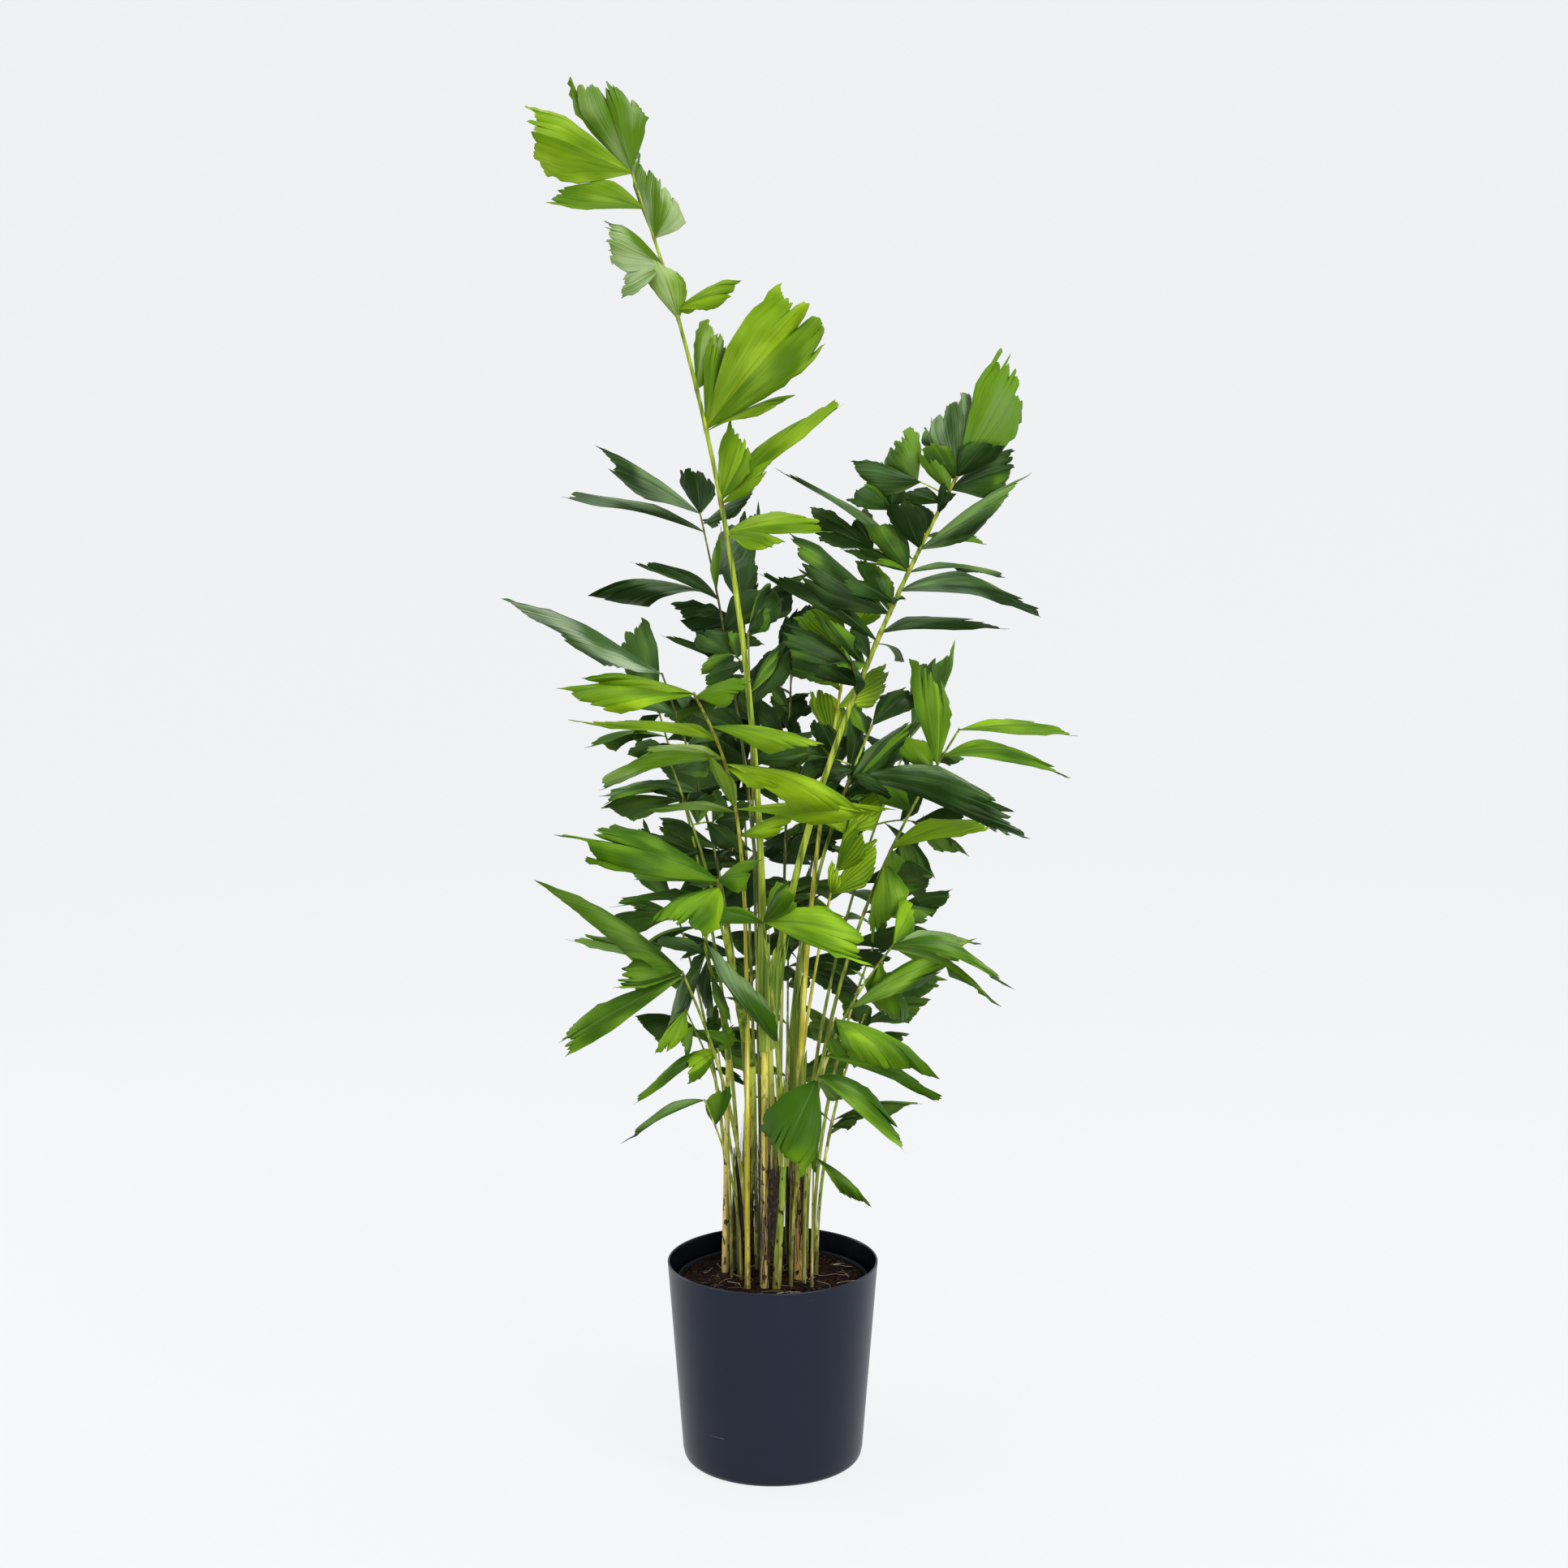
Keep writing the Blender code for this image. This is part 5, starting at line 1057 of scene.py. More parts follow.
# leaflets with a painted silvery sheen, by frond and leaf number
paintedSheenLeaves = {
    "frond_tall": {0: 0.4, 1: 0.1, 3: 0.9, 4: 0.8, 5: 0.9, 6: 0.7, 8: 0.5},
    "frond_right": {0: 0.25, 1: 0.6, 4: 0.25, 7: 0.35, 9: 0.25, 11: 0.35, 14: 0.25, 22: 0.3},
    "frond_lime": {4: 0.5, 7: 0.5, 9: 0.3, 10: 0.2}, "frond_centre": {2: 0.6},
    "frond_grey_left": {0: 0.9, 1: 0.5}, "frond_right_middle": {4: 0.6}, "frond_left": {0: 0.25, 1: 0.4},
    "frond_back_left_dark": {0: 0.5, 1: 0.6, 3: 0.4, 4: 0.5, 5: 0.5}, "frond_right_fan": {0: 0.5, 2: 0.35},
    "frond_left_hub": {0: 0.5, 1: 0.5}, "frond_right_low": {5: 0.6, 1: 0.4, 6: 0.5, 0: 0.15},
    "frond_right_lower": {6: 0.5, 3: 0.2}, "frond_left_lowest": {0: 0.4},
}

# leaflets lighter or darker than their frond: partly their own tone, partly painted light shining through
# them
lighterOrDarkerLeaves = {
    "frond_tall": {1: 0.1, 0: -0.35, 3: -0.5, 5: -0.4, 4: -0.4},
    "frond_right": {0: 1.25, 1: -0.1, 4: 0.35, 6: 0.3, 10: 0.45, 18: 0.4, 20: 0.3, 21: 0.2},
    "frond_right_middle": {0: 0.3, 1: 0.2, 6: 0.45, 3: 0.5},
    "frond_fan": {0: 0.2, 1: 0.35, 3: -0.5, 4: -0.5}, "frond_centre": {0: 0.1, 2: -0.3},
    "frond_lime": {0: 0.1, 1: 0.05, 2: 0.4, 3: 0.2, 5: 0.2, 6: 0.35, 8: 0.3, 7: -0.5, 10: -0.7},
    "frond_left": {3: 0.3}, "frond_right_fan": {6: 0.3, 2: 0.3}, "frond_right_low": {0: 0.35},
    "frond_right_lower": {4: -0.35, 1: -0.3}, "frond_left_low": {0: 0.3}, "frond_left_lower": {1: 0.5},
}

leafSheetPlan = dict(
    rows=14, columnsPerLobe=9, thickness=0.00055, slantMore=0.05, tail=0.07, thinTail=0.20, taperMore=0.10,
    stepsPerLobe=1.9, unequal=1.6, stepDepth=0.100, lean=0.06, bite=0.020, deepShare=0.15,
    deepBite=(0.05, 0.15), biteHalf=(0.04, 0.12), sharp=0.007, fineTooth=0.024,
    sideTooth=0.13, sideFrom=0.42, fold=(0.03, 0.28), creases=(2, 4), crease=(0.020, 0.065),
    creaseHalf=(0.10, 0.36), paintedPanelShade=0.20, paintedSideLight=0.20, wave=0.020, ruffle=0.014, twist=22.0,
    bend=0.07, curl=0.09, shadeSpread=0.16, plainPaintedSheen=(0.0, 0.07), seeds=(0.0, 200.0),
    stepSpread=(0.7, 1.25), leastStep=0.22, columnShift=0.30, narrowBite=0.6, narrowTooth=1.3,
    evenTooth=0.35, narrowFrom=0.055, narrowOver=0.03, rowPower=1.25, roundMore=0.05, creaseReach=0.85,
    openBy=0.72, openPower=1.15, rootWidth=0.02, foldUpShare=0.8, foldDown=-0.6, ridgeReach=0.35,
    ruffles=(1.1, 3.2), waves=8.0, curls=(-0.3, 1.0), toothReach=0.72,
)


# The end of a leaflet is a staircase of flat steps of unequal width, with a bite at each border.
# end(v) = top of the step + lean * place in the step - bite * nearness to its border - fine teeth
# The columns v run closer at the borders, so that the sides of the steps stay sharp. A narrow leaflet's end
# is cut so obliquely that its teeth and bites are made longer.
def steppedEnd(lobes, narrow, dice):
    plan = leafSheetPlan
    steps = max(3, round(lobes * plan["stepsPerLobe"] * dice.uniform(*plan["stepSpread"])))
    widths = plan["leastStep"] + dice.random(steps) ** plan["unequal"]
    borders = -1.0 + 2.0 * np.cumsum(widths)[:-1] / widths.sum()
    count = plan["columnsPerLobe"] * lobes
    v = np.linspace(-1.0, 1.0, count + 1)
    v[1:-1] += dice.uniform(-plan["columnShift"], plan["columnShift"], count - 1) * 2.0 / count
    v = np.sort(np.concatenate([v, borders - plan["sharp"], borders + plan["sharp"]]))
    edges = np.concatenate([[-1.0], borders, [1.0]])
    step = np.searchsorted(borders, v)
    share = (v - edges[step]) / (edges[step + 1] - edges[step])
    tops = 1.0 - plan["stepDepth"] * dice.random(steps)
    tops[-1] = 1.0
    bites = dice.exponential(plan["bite"], steps - 1)
    deep = dice.random(steps - 1) < plan["deepShare"]
    bites = np.where(deep, dice.uniform(*plan["deepBite"], steps - 1), bites)
    near = 1.0 - np.abs(v[:, None] - borders[None, :]) / dice.uniform(*plan["biteHalf"], steps - 1)[None, :]
    end = tops[step] + dice.normal(0.0, plan["lean"], steps)[step] * (share - 0.5)
    bitten = (bites[None, :] * np.clip(near, 0.0, 1.0)).max(axis=1)
    end = end - (1.0 + plan["narrowBite"] * narrow) * bitten
    longest = plan["fineTooth"] * (1.0 + plan["narrowTooth"] * narrow)
    everySecond = np.where(np.arange(len(v)) % 2 == 1, 1.0, plan["evenTooth"])
    return v, end - longest * dice.random(len(v)) * everySecond


# A leaflet's sheet, as one closed skin of an upper and an under face.
# place = root + along * length * u * stretch(v) * cut(u, v) + across * half(u) * v + face * rise(u, v)
# stretch(v) = 1 + slant v - round v^2 + a thin tail at the long corner
# cut(u, v) = 1 - (1 - end(v)) u^3, where end(v) is the staircase
# half(u) opens from the root to the full width and narrows at the end
# teeth at the sides draw the outermost part of v in by a random share for each u in the outer part
# rise(u, v) = arch 4u(1-u) - cup u v^2 - fold |v| + creases + a ruffle and a wave at the margins - curl u^3
# creases = a few tents over v at random places, which grow as u^1.2; the panels between them get painted
# light and shade
# Across turns about the leaflet's own length by twist * u, and the whole sheet bends sideways by bend * u^2.
def leafSkin(leaf, dice):
    plan = leafSheetPlan
    length = leaf["length"]
    width = leaf["width"]
    narrow = float(np.clip((plan["narrowFrom"] - width) / plan["narrowOver"], 0.0, 1.0))
    v, end = steppedEnd(leaf["columns"], narrow, dice)
    u = 1.0 - (1.0 - np.linspace(0.0, 1.0, plan["rows"] + 1)) ** plan["rowPower"]
    slant = leaf["slant"] + (plan["slantMore"] * narrow if leaf["slant"] == leafPlan["slant"] else 0.0)
    stretch = 1.0 + slant * v - (leafPlan["round"] + plan["roundMore"] * narrow) * v * v
    corner = np.clip((v - 1.0 + plan["thinTail"]) / plan["thinTail"], 0.0, 1.0)
    stretch = stretch + plan["tail"] * (0.35 + 0.65 * narrow) * corner ** 2.5

    creases = int(dice.integers(*plan["creases"], endpoint=True))
    lines = np.sort(dice.uniform(-plan["creaseReach"], plan["creaseReach"], creases))
    sizes = dice.uniform(*plan["crease"], creases) * dice.choice((-1.0, 1.0), creases)
    tents = 1.0 - np.abs(v[:, None] - lines[None, :]) / dice.uniform(*plan["creaseHalf"], creases)[None, :]
    folded = (sizes * np.clip(tents, 0.0, 1.0)).sum(axis=1)[None, :]
    # painted light and shade: each panel between the creases is made lighter or darker by its own amount, and
    # the colour runs lighter towards one side of the leaflet and darker towards the other
    paintedFoldShade = dice.normal(0.0, plan["paintedPanelShade"], creases + 1)[np.searchsorted(lines, v)]
    paintedFoldShade = paintedFoldShade + v * dice.normal(0.0, plan["paintedSideLight"])

    uu = u[:, None]
    vv = v[None, :]
    run = uu * stretch[None, :] * (1.0 - (1.0 - end[None, :]) * uu ** 3)
    opened = 1.0 - np.clip(1.0 - uu / plan["openBy"], 0.0, 1.0) ** plan["openPower"]
    taper = leafPlan["endTaper"] + plan["taperMore"] * narrow
    narrowed = 1.0 - taper * np.clip(uu - leafPlan["fullWidth"], 0.0, 1.0) / (1.0 - leafPlan["fullWidth"])
    half = width * 0.5 * (plan["rootWidth"] + (1.0 - plan["rootWidth"]) * opened * narrowed)
    phase = dice.uniform(0.0, 2.0 * np.pi, 3)
    fold = dice.uniform(*plan["fold"]) * (1.0 if dice.random() < plan["foldUpShare"] else plan["foldDown"])
    ridge = dice.uniform(-plan["ridgeReach"], plan["ridgeReach"])
    rise = leaf["arch"] * length * 4.0 * uu * (1.0 - uu) - leafPlan["cup"] * width * uu * vv * vv
    rise = rise - fold * half * 2.0 * (np.sqrt((vv - ridge) ** 2 + 0.012) - 0.11)
    rise = rise + width * uu ** 1.2 * folded
    ruffles = np.sin(np.pi * vv * dice.uniform(*plan["ruffles"]) + phase[0])
    waves = np.sin(uu * plan["waves"] + np.sign(vv) + phase[1])
    rise = rise + plan["ruffle"] * width * uu ** 2.5 * ruffles
    rise = rise + plan["wave"] * length * opened * vv ** 2 * waves
    rise = rise - plan["curl"] * length * uu ** 3 * dice.uniform(*plan["curls"])

    along, across, face = (np.array(direction) for direction in leaf["frame"])
    turn = np.radians(plan["twist"] * dice.uniform(-1.0, 1.0)) * uu + 0.06 * np.sin(uu * 4.0 + phase[2])
    drawnIn = dice.random((len(u), 2))[:, (v > 0.0).astype(int)]
    drawnIn = drawnIn * np.clip((np.abs(vv) - plan["toothReach"]) / (1.0 - plan["toothReach"]), 0.0, 1.0)
    drawnIn = drawnIn * plan["sideTooth"] * np.clip((uu - plan["sideFrom"]) / 0.2, 0.0, 1.0)
    sideways = half * vv * leaf["side"] * (1.0 - drawnIn)
    offset = np.cos(turn)[..., None] * across + np.sin(turn)[..., None] * face
    sheet = np.array(leaf["root"]) + run[..., None] * length * along + rise[..., None] * face
    sheet = sheet + sideways[..., None] * offset
    sheet = sheet + (plan["bend"] * length * dice.uniform(-1.0, 1.0) * uu ** 2)[..., None] * across

    thick = plan["thickness"] * 0.5
    points = np.concatenate([(sheet + face * thick).reshape(-1, 3), (sheet - face * thick).reshape(-1, 3)])
    faces = sheetFaces(*run.shape)
    if leaf["side"] > 0.0:
        faces = [quads[:, ::-1] for quads in faces]
    kinds = np.repeat((0, 1, 1), [len(quads) for quads in faces])
    marks = [vv * width * 0.5, uu * length, uu, np.abs(vv), paintedFoldShade[None, :]]
    marks = [np.tile(np.broadcast_to(values, run.shape).ravel(), 2) for values in marks]
    return points, np.concatenate(faces), kinds, np.stack(marks[:2], -1), *marks[2:]


def dressLeaves(name, tone, leaves):
    plan = leafSheetPlan
    dice = np.random.default_rng(nameNumber(name) + 40)
    lightOrDark = lighterOrDarkerLeaves.get(name, {})
    paintedsheen = paintedSheenLeaves.get(name, {})
    skins = []
    start = 0
    for leaf in leaves:
        points, faces, kinds, uv, outward, margin, paintedFoldShade = leafSkin(leaf, dice)
        number = leaf["number"]
        shade = dice.normal(0.0, plan["shadeSpread"]) + lightOrDark.get(number, 0.0) + leaf.get("youth", 0.0)
        sheen = paintedsheen.get(number, dice.uniform(*plan["plainPaintedSheen"]))
        own = np.full((2, len(points)), [[sheen], [dice.uniform(*plan["seeds"])]])
        # the shade mark adds the leaflet's own random tone, its lightness against the frond, and the painted
        # light and shade of its fold panels
        skins.append((points, faces + start, kinds, uv, outward, margin, shade + paintedFoldShade, *own))
        start += len(points)
    points, faces, kinds, uv, *marks = (np.concatenate(part) for part in zip(*skins))
    marks = dict(zip(("outward", "margin", "shade", "paintedsheen", "leafSeed"), marks))
    materials = leafMaterials["pleated" if name in pleatedFronds else tone]
    mesh = dress(name + "_leaflets", points, faces, materials, [name], "leaf_" + tone,
                 uv=uv, marks=marks, kinds=kinds, sharp=70.0)
    return len(mesh.polygons) * 2


toneOf = {name: frond["tone"] for name, frond in fronds.items()}
toneOf.update({name: row[-1] for name, row in farFronds.items()})
leafTriangles = 0
for frondName, leaves in grown.items():
    leafTriangles += dressLeaves(frondName, toneOf[frondName], leaves)
print("leaflets dressed, triangles:", leafTriangles)


# stalks

stalkKinds = {
    "paleGreen": dict(Foot=(0.50, 0.52, 0.05), Top=(0.28, 0.38, 0.03), Change=0.50, Spots=0.6, Bark=0.5),
    "green": dict(Foot=(0.34, 0.40, 0.05), Top=(0.18, 0.28, 0.04), Change=0.55, Spots=0.6, Bark=0.5),
    "gold": dict(Foot=(0.60, 0.52, 0.05), Top=(0.40, 0.38, 0.04), Change=0.60, Spots=0.4, Bark=0.3),
    "dark": dict(Foot=(0.25, 0.30, 0.05), Top=(0.060, 0.080, 0.025), Change=0.65, Spots=0.4, Bark=0.3),
}
stalkKindOf = {
    "frond_tall": "paleGreen", "frond_right": "paleGreen", "frond_fan": "paleGreen", "frond_lime": "gold",
    "frond_back_cane": "gold", "frond_inner_lime": "gold", "frond_brown_rib": "dark",
    "frond_back_left_dark": "dark", "frond_grey_left": "dark", "frond_far_tall": "dark",
    "frond_far_inner": "dark",
}
stemSpecular = 0.12
stalkMaterials = {}
for kind, values in stalkKinds.items():
    stalkMaterials[kind] = groupMaterial("stalk_" + kind, "stemSkin", values, 0.35, 0.001, stemSpecular)
stalkPlan = dict(
    sides=10, step=0.006, footFlare=0.22, footLength=0.05, knot=0.20, knotLength=0.0035,
    thicken=0.28, thickFrom=0.30, thickOver=0.15,
)


# a stalk's skin: the limb's path with a small flare at its foot and a swelling where each leaflet sits
# radius = taper * (1 + flare at the foot) * (1 + thicken, once above the crowded feet) * (1 + knots)
def stalkSkin(limb, leaves):
    plan = stalkPlan
    low = limb["path"][0].z
    high = limb["path"][-1].z
    heights = np.linspace(low, high, max(6, int((high - low) / plan["step"])))
    x, y, radii = limbLine(limb, heights)
    radii = radii * (1.0 + plan["footFlare"] * np.exp(-(heights - low) / plan["footLength"]))
    above = np.clip((heights - plan["thickFrom"]) / plan["thickOver"], 0.0, 1.0)
    radii = radii * (1.0 + plan["thicken"] * above)
    knots = np.zeros(len(heights))
    for leaf in leaves:
        if (pointAt(limb, leaf["root"].z) - leaf["root"]).length < 0.001:
            near = np.exp(-((heights - leaf["root"].z) / plan["knotLength"]) ** 2)
            knots = np.maximum(knots, near)
    radii = radii * (1.0 + plan["knot"] * knots)
    points, faces = tubeGrid(np.stack([x, y, heights], -1), radii, plan["sides"])
    return points, faces, np.repeat(knots, plan["sides"])


def sideStalkTubes(name):
    tubes = []
    for steps in sideStalks.get(name, []):
        path = np.array([tuple(step) for step in steps])
        tubes.append(tubeGrid(path, np.linspace(*sprayPlan["stalkRadii"], len(path)), 6))
    return tubes


for frondName, leaves in grown.items():
    points, faces, knots = stalkSkin(limbs[frondName], leaves)
    points, faces = joinTubes([(points, faces), *sideStalkTubes(frondName)])
    knots = np.concatenate([knots, np.zeros(len(points) - len(knots))])
    material = stalkMaterials[stalkKindOf.get(frondName, "green")]
    dress(frondName + "_stalk", points, faces, [material], [frondName], "leaf_" + toneOf[frondName],
          marks=dict(knot=knots))
print("stalks dressed")


# canes

caneKinds = {
    "cane_yellow": dict(
        Foot=(0.95, 0.78, 0.20), Top=(0.62, 0.60, 0.07), Change=0.50, Spots=0.9, Bark=0.60, Stain=0.15),
    "cane_broad": dict(
        Foot=(0.36, 0.52, 0.11), Top=(0.46, 0.56, 0.08), Change=0.36, Spots=0.5, Bark=0.8, Stain=0.85),
    "cane_tan": dict(
        Foot=(1.0, 0.74, 0.25), Top=(0.60, 0.56, 0.08), Change=0.42, Spots=0.9, Bark=0.40, Stain=0.10),
    "cane_spotted": dict(Foot=(0.52, 0.56, 0.08), Top=(0.24, 0.38, 0.04), Change=0.30, Spots=1.0, Bark=0.5),
    "cane_orange": dict(
        Foot=(1.0, 0.60, 0.19), Top=(0.56, 0.50, 0.07), Change=0.38, Spots=1.0, Bark=0.38, Stain=0.05),
    "cane_core": dict(Foot=(0.42, 0.38, 0.10), Top=(0.42, 0.48, 0.09), Change=0.42, Spots=0.6, Bark=1.0),
    "cane_rear": dict(Foot=(0.34, 0.38, 0.08), Top=(0.36, 0.46, 0.07), Change=0.40, Spots=0.6, Bark=0.9),
    "cane_rear_right": dict(
        Foot=(0.38, 0.36, 0.09), Top=(0.34, 0.44, 0.07), Change=0.40, Spots=0.6, Bark=0.9),
    "cane_stub": dict(Foot=(0.13, 0.08, 0.05), Top=(0.10, 0.055, 0.035), Change=0.35, Spots=0.3, Bark=1.0),
}
caneSlots = {
    "cane_yellow": "cane_yellow", "cane_tan": "cane_tan", "cane_orange": "cane_tan",
    "cane_stub": "cane_fibre",
}
canePlan = dict(
    sides=18, step=0.006, nodeSpacing=0.085, nodeSwell=0.10, nodeLength=0.0035, ridge=0.035, ridges=5,
    ridgeTwist=9.0,
)


# a cane's skin: radius(angle, height) = taper * (1 + rings at its nodes + shallow ridges along it)
def caneSkin(limb, seed):
    plan = canePlan
    dice = np.random.default_rng(seed)
    low = limb["path"][0].z
    high = limb["path"][-1].z
    heights = np.linspace(low, high, int((high - low) / plan["step"]))
    x, y, radii = limbLine(limb, heights)
    centre = np.stack([x, y, heights], -1)
    for height in np.arange(low + dice.uniform(0.03, 0.07), high - 0.02, plan["nodeSpacing"]):
        radii = radii * (1.0 + plan["nodeSwell"] * np.exp(-((heights - height) / plan["nodeLength"]) ** 2))
    points, faces = tubeGrid(centre, radii, plan["sides"])
    turn = heights[:, None] * plan["ridgeTwist"] + dice.uniform(0.0, 6.0)
    wave = np.sin(anglesAround(plan["sides"]) * plan["ridges"] + turn)
    middle = centre[:, None, :]
    shaped = points.reshape(len(heights), plan["sides"], 3) - middle
    shaped = middle + shaped * (1.0 + plan["ridge"] * wave[..., None] - plan["ridge"])
    return shaped.reshape(-1, 3), faces


for number, caneName in enumerate(canes):
    points, faces = caneSkin(limbs[caneName], 60 + number)
    material = groupMaterial("skin_" + caneName, "stemSkin", caneKinds[caneName], 0.6, 0.0015, stemSpecular)
    dress(caneName + "_skin", points, faces, [material], [caneName], caneSlots.get(caneName, "cane_green"))
print("canes dressed")


# brown sheaths and fibres at the feet

sheathPlan = {
    "cane_core": dict(low=0.242, high=0.400, start=3.9, sweep=2.6, lift=1.10),
    "cane_orange": dict(low=0.300, high=0.410, start=5.0, sweep=2.1, lift=1.10),
    "cane_broad": dict(low=0.240, high=0.330, start=2.4, sweep=3.6, lift=1.06),
    "cane_stub": dict(low=0.240, high=0.375, start=2.0, sweep=4.6, lift=1.14),
    "cane_yellow": dict(low=0.262, high=0.350, start=5.4, sweep=1.5, lift=1.10),
    "cane_rear": dict(low=0.240, high=0.380, start=2.6, sweep=4.4, lift=1.10),
    "cane_rear_right": dict(low=0.240, high=0.370, start=2.4, sweep=4.4, lift=1.10),
}
sheathShape = dict(columns=26, rows=18, tatter=0.45, flare=0.16, ripple=0.0004, half=0.0003)
sheathPaint = crumbMaterial("brown_sheath", (0.018, 0.009, 0.006), (0.30, 0.17, 0.09), 110.0, 0.8, 0.001)


# a torn sheath, open at one side: place = limb(height) + radius * lift * (cos angle, sin angle), its top
# edge in tatters and flared outwards
def sheathSkin(limb, plan, dice):
    shape = sheathShape
    columns = shape["columns"]
    angle = plan["start"] + plan["sweep"] * np.linspace(0.0, 1.0, columns)
    tatter = 1.0 - shape["tatter"] * dice.random(columns) ** 1.5
    smoothed = np.convolve(np.pad(tatter, 2, mode="edge"), np.ones(5) / 5.0, mode="valid")
    share = np.linspace(0.0, 1.0, shape["rows"])[:, None]
    heights = plan["low"] + (plan["high"] - plan["low"]) * share * (0.5 * tatter + 0.5 * smoothed)
    x, y, radius = limbLine(limb, heights)
    flare = 1.0 + shape["flare"] * share ** 3 * (0.4 + dice.random(columns))
    radius = radius * plan["lift"] * flare + shape["ripple"] * np.sin(angle * 11.0)
    layers = []
    for reach in (radius + shape["half"], radius - shape["half"]):
        layer = np.stack([x + reach * np.cos(angle), y + reach * np.sin(angle), heights], -1)
        layers.append(layer.reshape(-1, 3))
    return np.concatenate(layers), np.concatenate(sheetFaces(shape["rows"], columns))


for number, (caneName, plan) in enumerate(sheathPlan.items()):
    points, faces = sheathSkin(limbs[caneName], plan, np.random.default_rng(90 + number))
    dress(caneName + "_sheath", points, faces, [sheathPaint], [], "cane_fibre", sharp=70.0)


# a green sheath clasps the foot of each stalk that stands on a cane

claspPlan = dict(
    lengths=(0.11, 0.19), starts=(2.0, 4.5), sweeps=(4.0, 5.2), lifts=(1.7, 2.1), lowestFoot=0.30,
)
claspColours = dict(Foot=(0.30, 0.36, 0.05), Top=(0.15, 0.25, 0.03), Change=0.50, Spots=0.4, Bark=0.3)
claspMaterial = groupMaterial("green_sheath", "stemSkin", claspColours, 0.5, 0.001, stemSpecular)
dice = np.random.default_rng(31)
for frondName in grown:
    foot = limbs[frondName]["path"][0].z
    if foot < claspPlan["lowestFoot"]:
        continue
    plan = dict(low=foot + 0.001, high=foot + dice.uniform(*claspPlan["lengths"]))
    plan["start"] = dice.uniform(*claspPlan["starts"])
    plan["sweep"] = dice.uniform(*claspPlan["sweeps"])
    plan["lift"] = dice.uniform(*claspPlan["lifts"])
    points, faces = sheathSkin(limbs[frondName], plan, dice)
    dress(frondName + "_clasp", points, faces, [claspMaterial], [], "cane_green", sharp=70.0)


# loose fibres among the canes' feet

fibrePlan = dict(
    hosts=(
        "cane_core", "cane_orange", "cane_broad", "cane_stub", "cane_rear", "cane_rear_right", "cane_yellow",
    ),
    count=520, steps=9, radius=0.00060, low=0.238, lowSpread=0.09, lengths=(0.03, 0.16), gap=0.0006,
    wander=0.0055, drift=0.10,
)
fibreMaterial = crumbMaterial("fibre", (0.020, 0.011, 0.007), (0.120, 0.072, 0.040), 90.0, 0.2, 0.001)


# fibres that hug the canes: path = cane(height) + (radius + gap) * (cos, sin)(angle + drift)
def fibreTubes():
    plan = fibrePlan
    dice = np.random.default_rng(7)
    share = np.linspace(0.0, 1.0, plan["steps"])
    tubes = []
    for number in range(plan["count"]):
        limb = limbs[plan["hosts"][number % len(plan["hosts"])]]
        foot = plan["low"] + dice.uniform(0.0, plan["lowSpread"])
        top = min(foot + dice.uniform(*plan["lengths"]), limb["path"][-1].z - 0.01)
        heights = np.linspace(foot, top, plan["steps"])
        x, y, radius = limbLine(limb, heights)
        angle = dice.uniform(0.0, 2.0 * np.pi) + np.cumsum(dice.normal(0.0, plan["drift"], plan["steps"]))
        radius = radius + (plan["gap"] + plan["wander"] * dice.random() * share ** 2)
        thin = plan["radius"] * dice.uniform(0.5, 1.3) * np.linspace(1.0, 0.35, plan["steps"])
        path = np.stack([x + radius * np.cos(angle), y + radius * np.sin(angle), heights], -1)
        tubes.append(tubeGrid(path, thin, 3))
    return joinTubes(tubes)


dress("base_fibres", *fibreTubes(), [fibreMaterial], [], "cane_fibre")
print("sheaths and fibres dressed")


# pot, growing pot and soil

# a turned skin: every profile point (radius, height) goes round the axis; a radius of 0 is a pole
def turnedSkin(profile, sides):
    profile = np.asarray(profile, float)
    angle = anglesAround(sides)
    body = profile[1:-1]
    reach = body[:, 0:1]
    heights = np.broadcast_to(body[:, 1:2], (len(body), sides))
    points = np.stack([reach * np.cos(angle), reach * np.sin(angle), heights], -1).reshape(-1, 3)
    faces = gridFaces(len(body), sides, around=True).tolist()
    total = len(points)
    points = np.concatenate([points, [(0.0, 0.0, profile[0, 1]), (0.0, 0.0, profile[-1, 1])]])
    around = np.arange(sides)
    after = (around + 1) % sides
    last = (len(body) - 1) * sides
    faces += np.stack([after, around, np.full(sides, total)], -1).tolist()
    faces += np.stack([last + around, last + after, np.full(sides, total + 1)], -1).tolist()
    return points, faces


# a rounded corner as profile points: centre + radius * (cos, sin) from one angle to another
def bend(centre, radius, start, stop, steps):
    angle = np.radians(np.linspace(start, stop, steps))
    return [(centre[0] + radius * math.cos(a), centre[1] + radius * math.sin(a)) for a in angle]


def potSkin():
    plan = potPlan
    foot = plan["footRadius"]
    wall = plan["wall"]
    rounding = plan["footRounding"]
    profile = [(0.0, 0.0), (0.03, 0.0), (0.07, 0.0)]
    profile += bend((foot - rounding, rounding), rounding, -90.0, -3.0, 9)
    profile += [(foot + potSlope * z, z) for z in np.linspace(rounding + 0.004, plan["height"] - 0.0016, 24)]
    lip = wall * 0.5
    profile += bend((plan["rimRadius"] - lip, plan["height"] - lip), lip, 10.0, 170.0, 7)
    profile += [(foot + potSlope * z - wall, z) for z in np.linspace(plan["height"] - 0.003, 0.02, 14)]
    inner = foot - wall - 0.004
    profile += [(inner + 0.002, 0.010), (inner - 0.002, 0.0045), (0.05, plan["floor"]), (0.0, plan["floor"])]
    return turnedSkin(profile, 128)


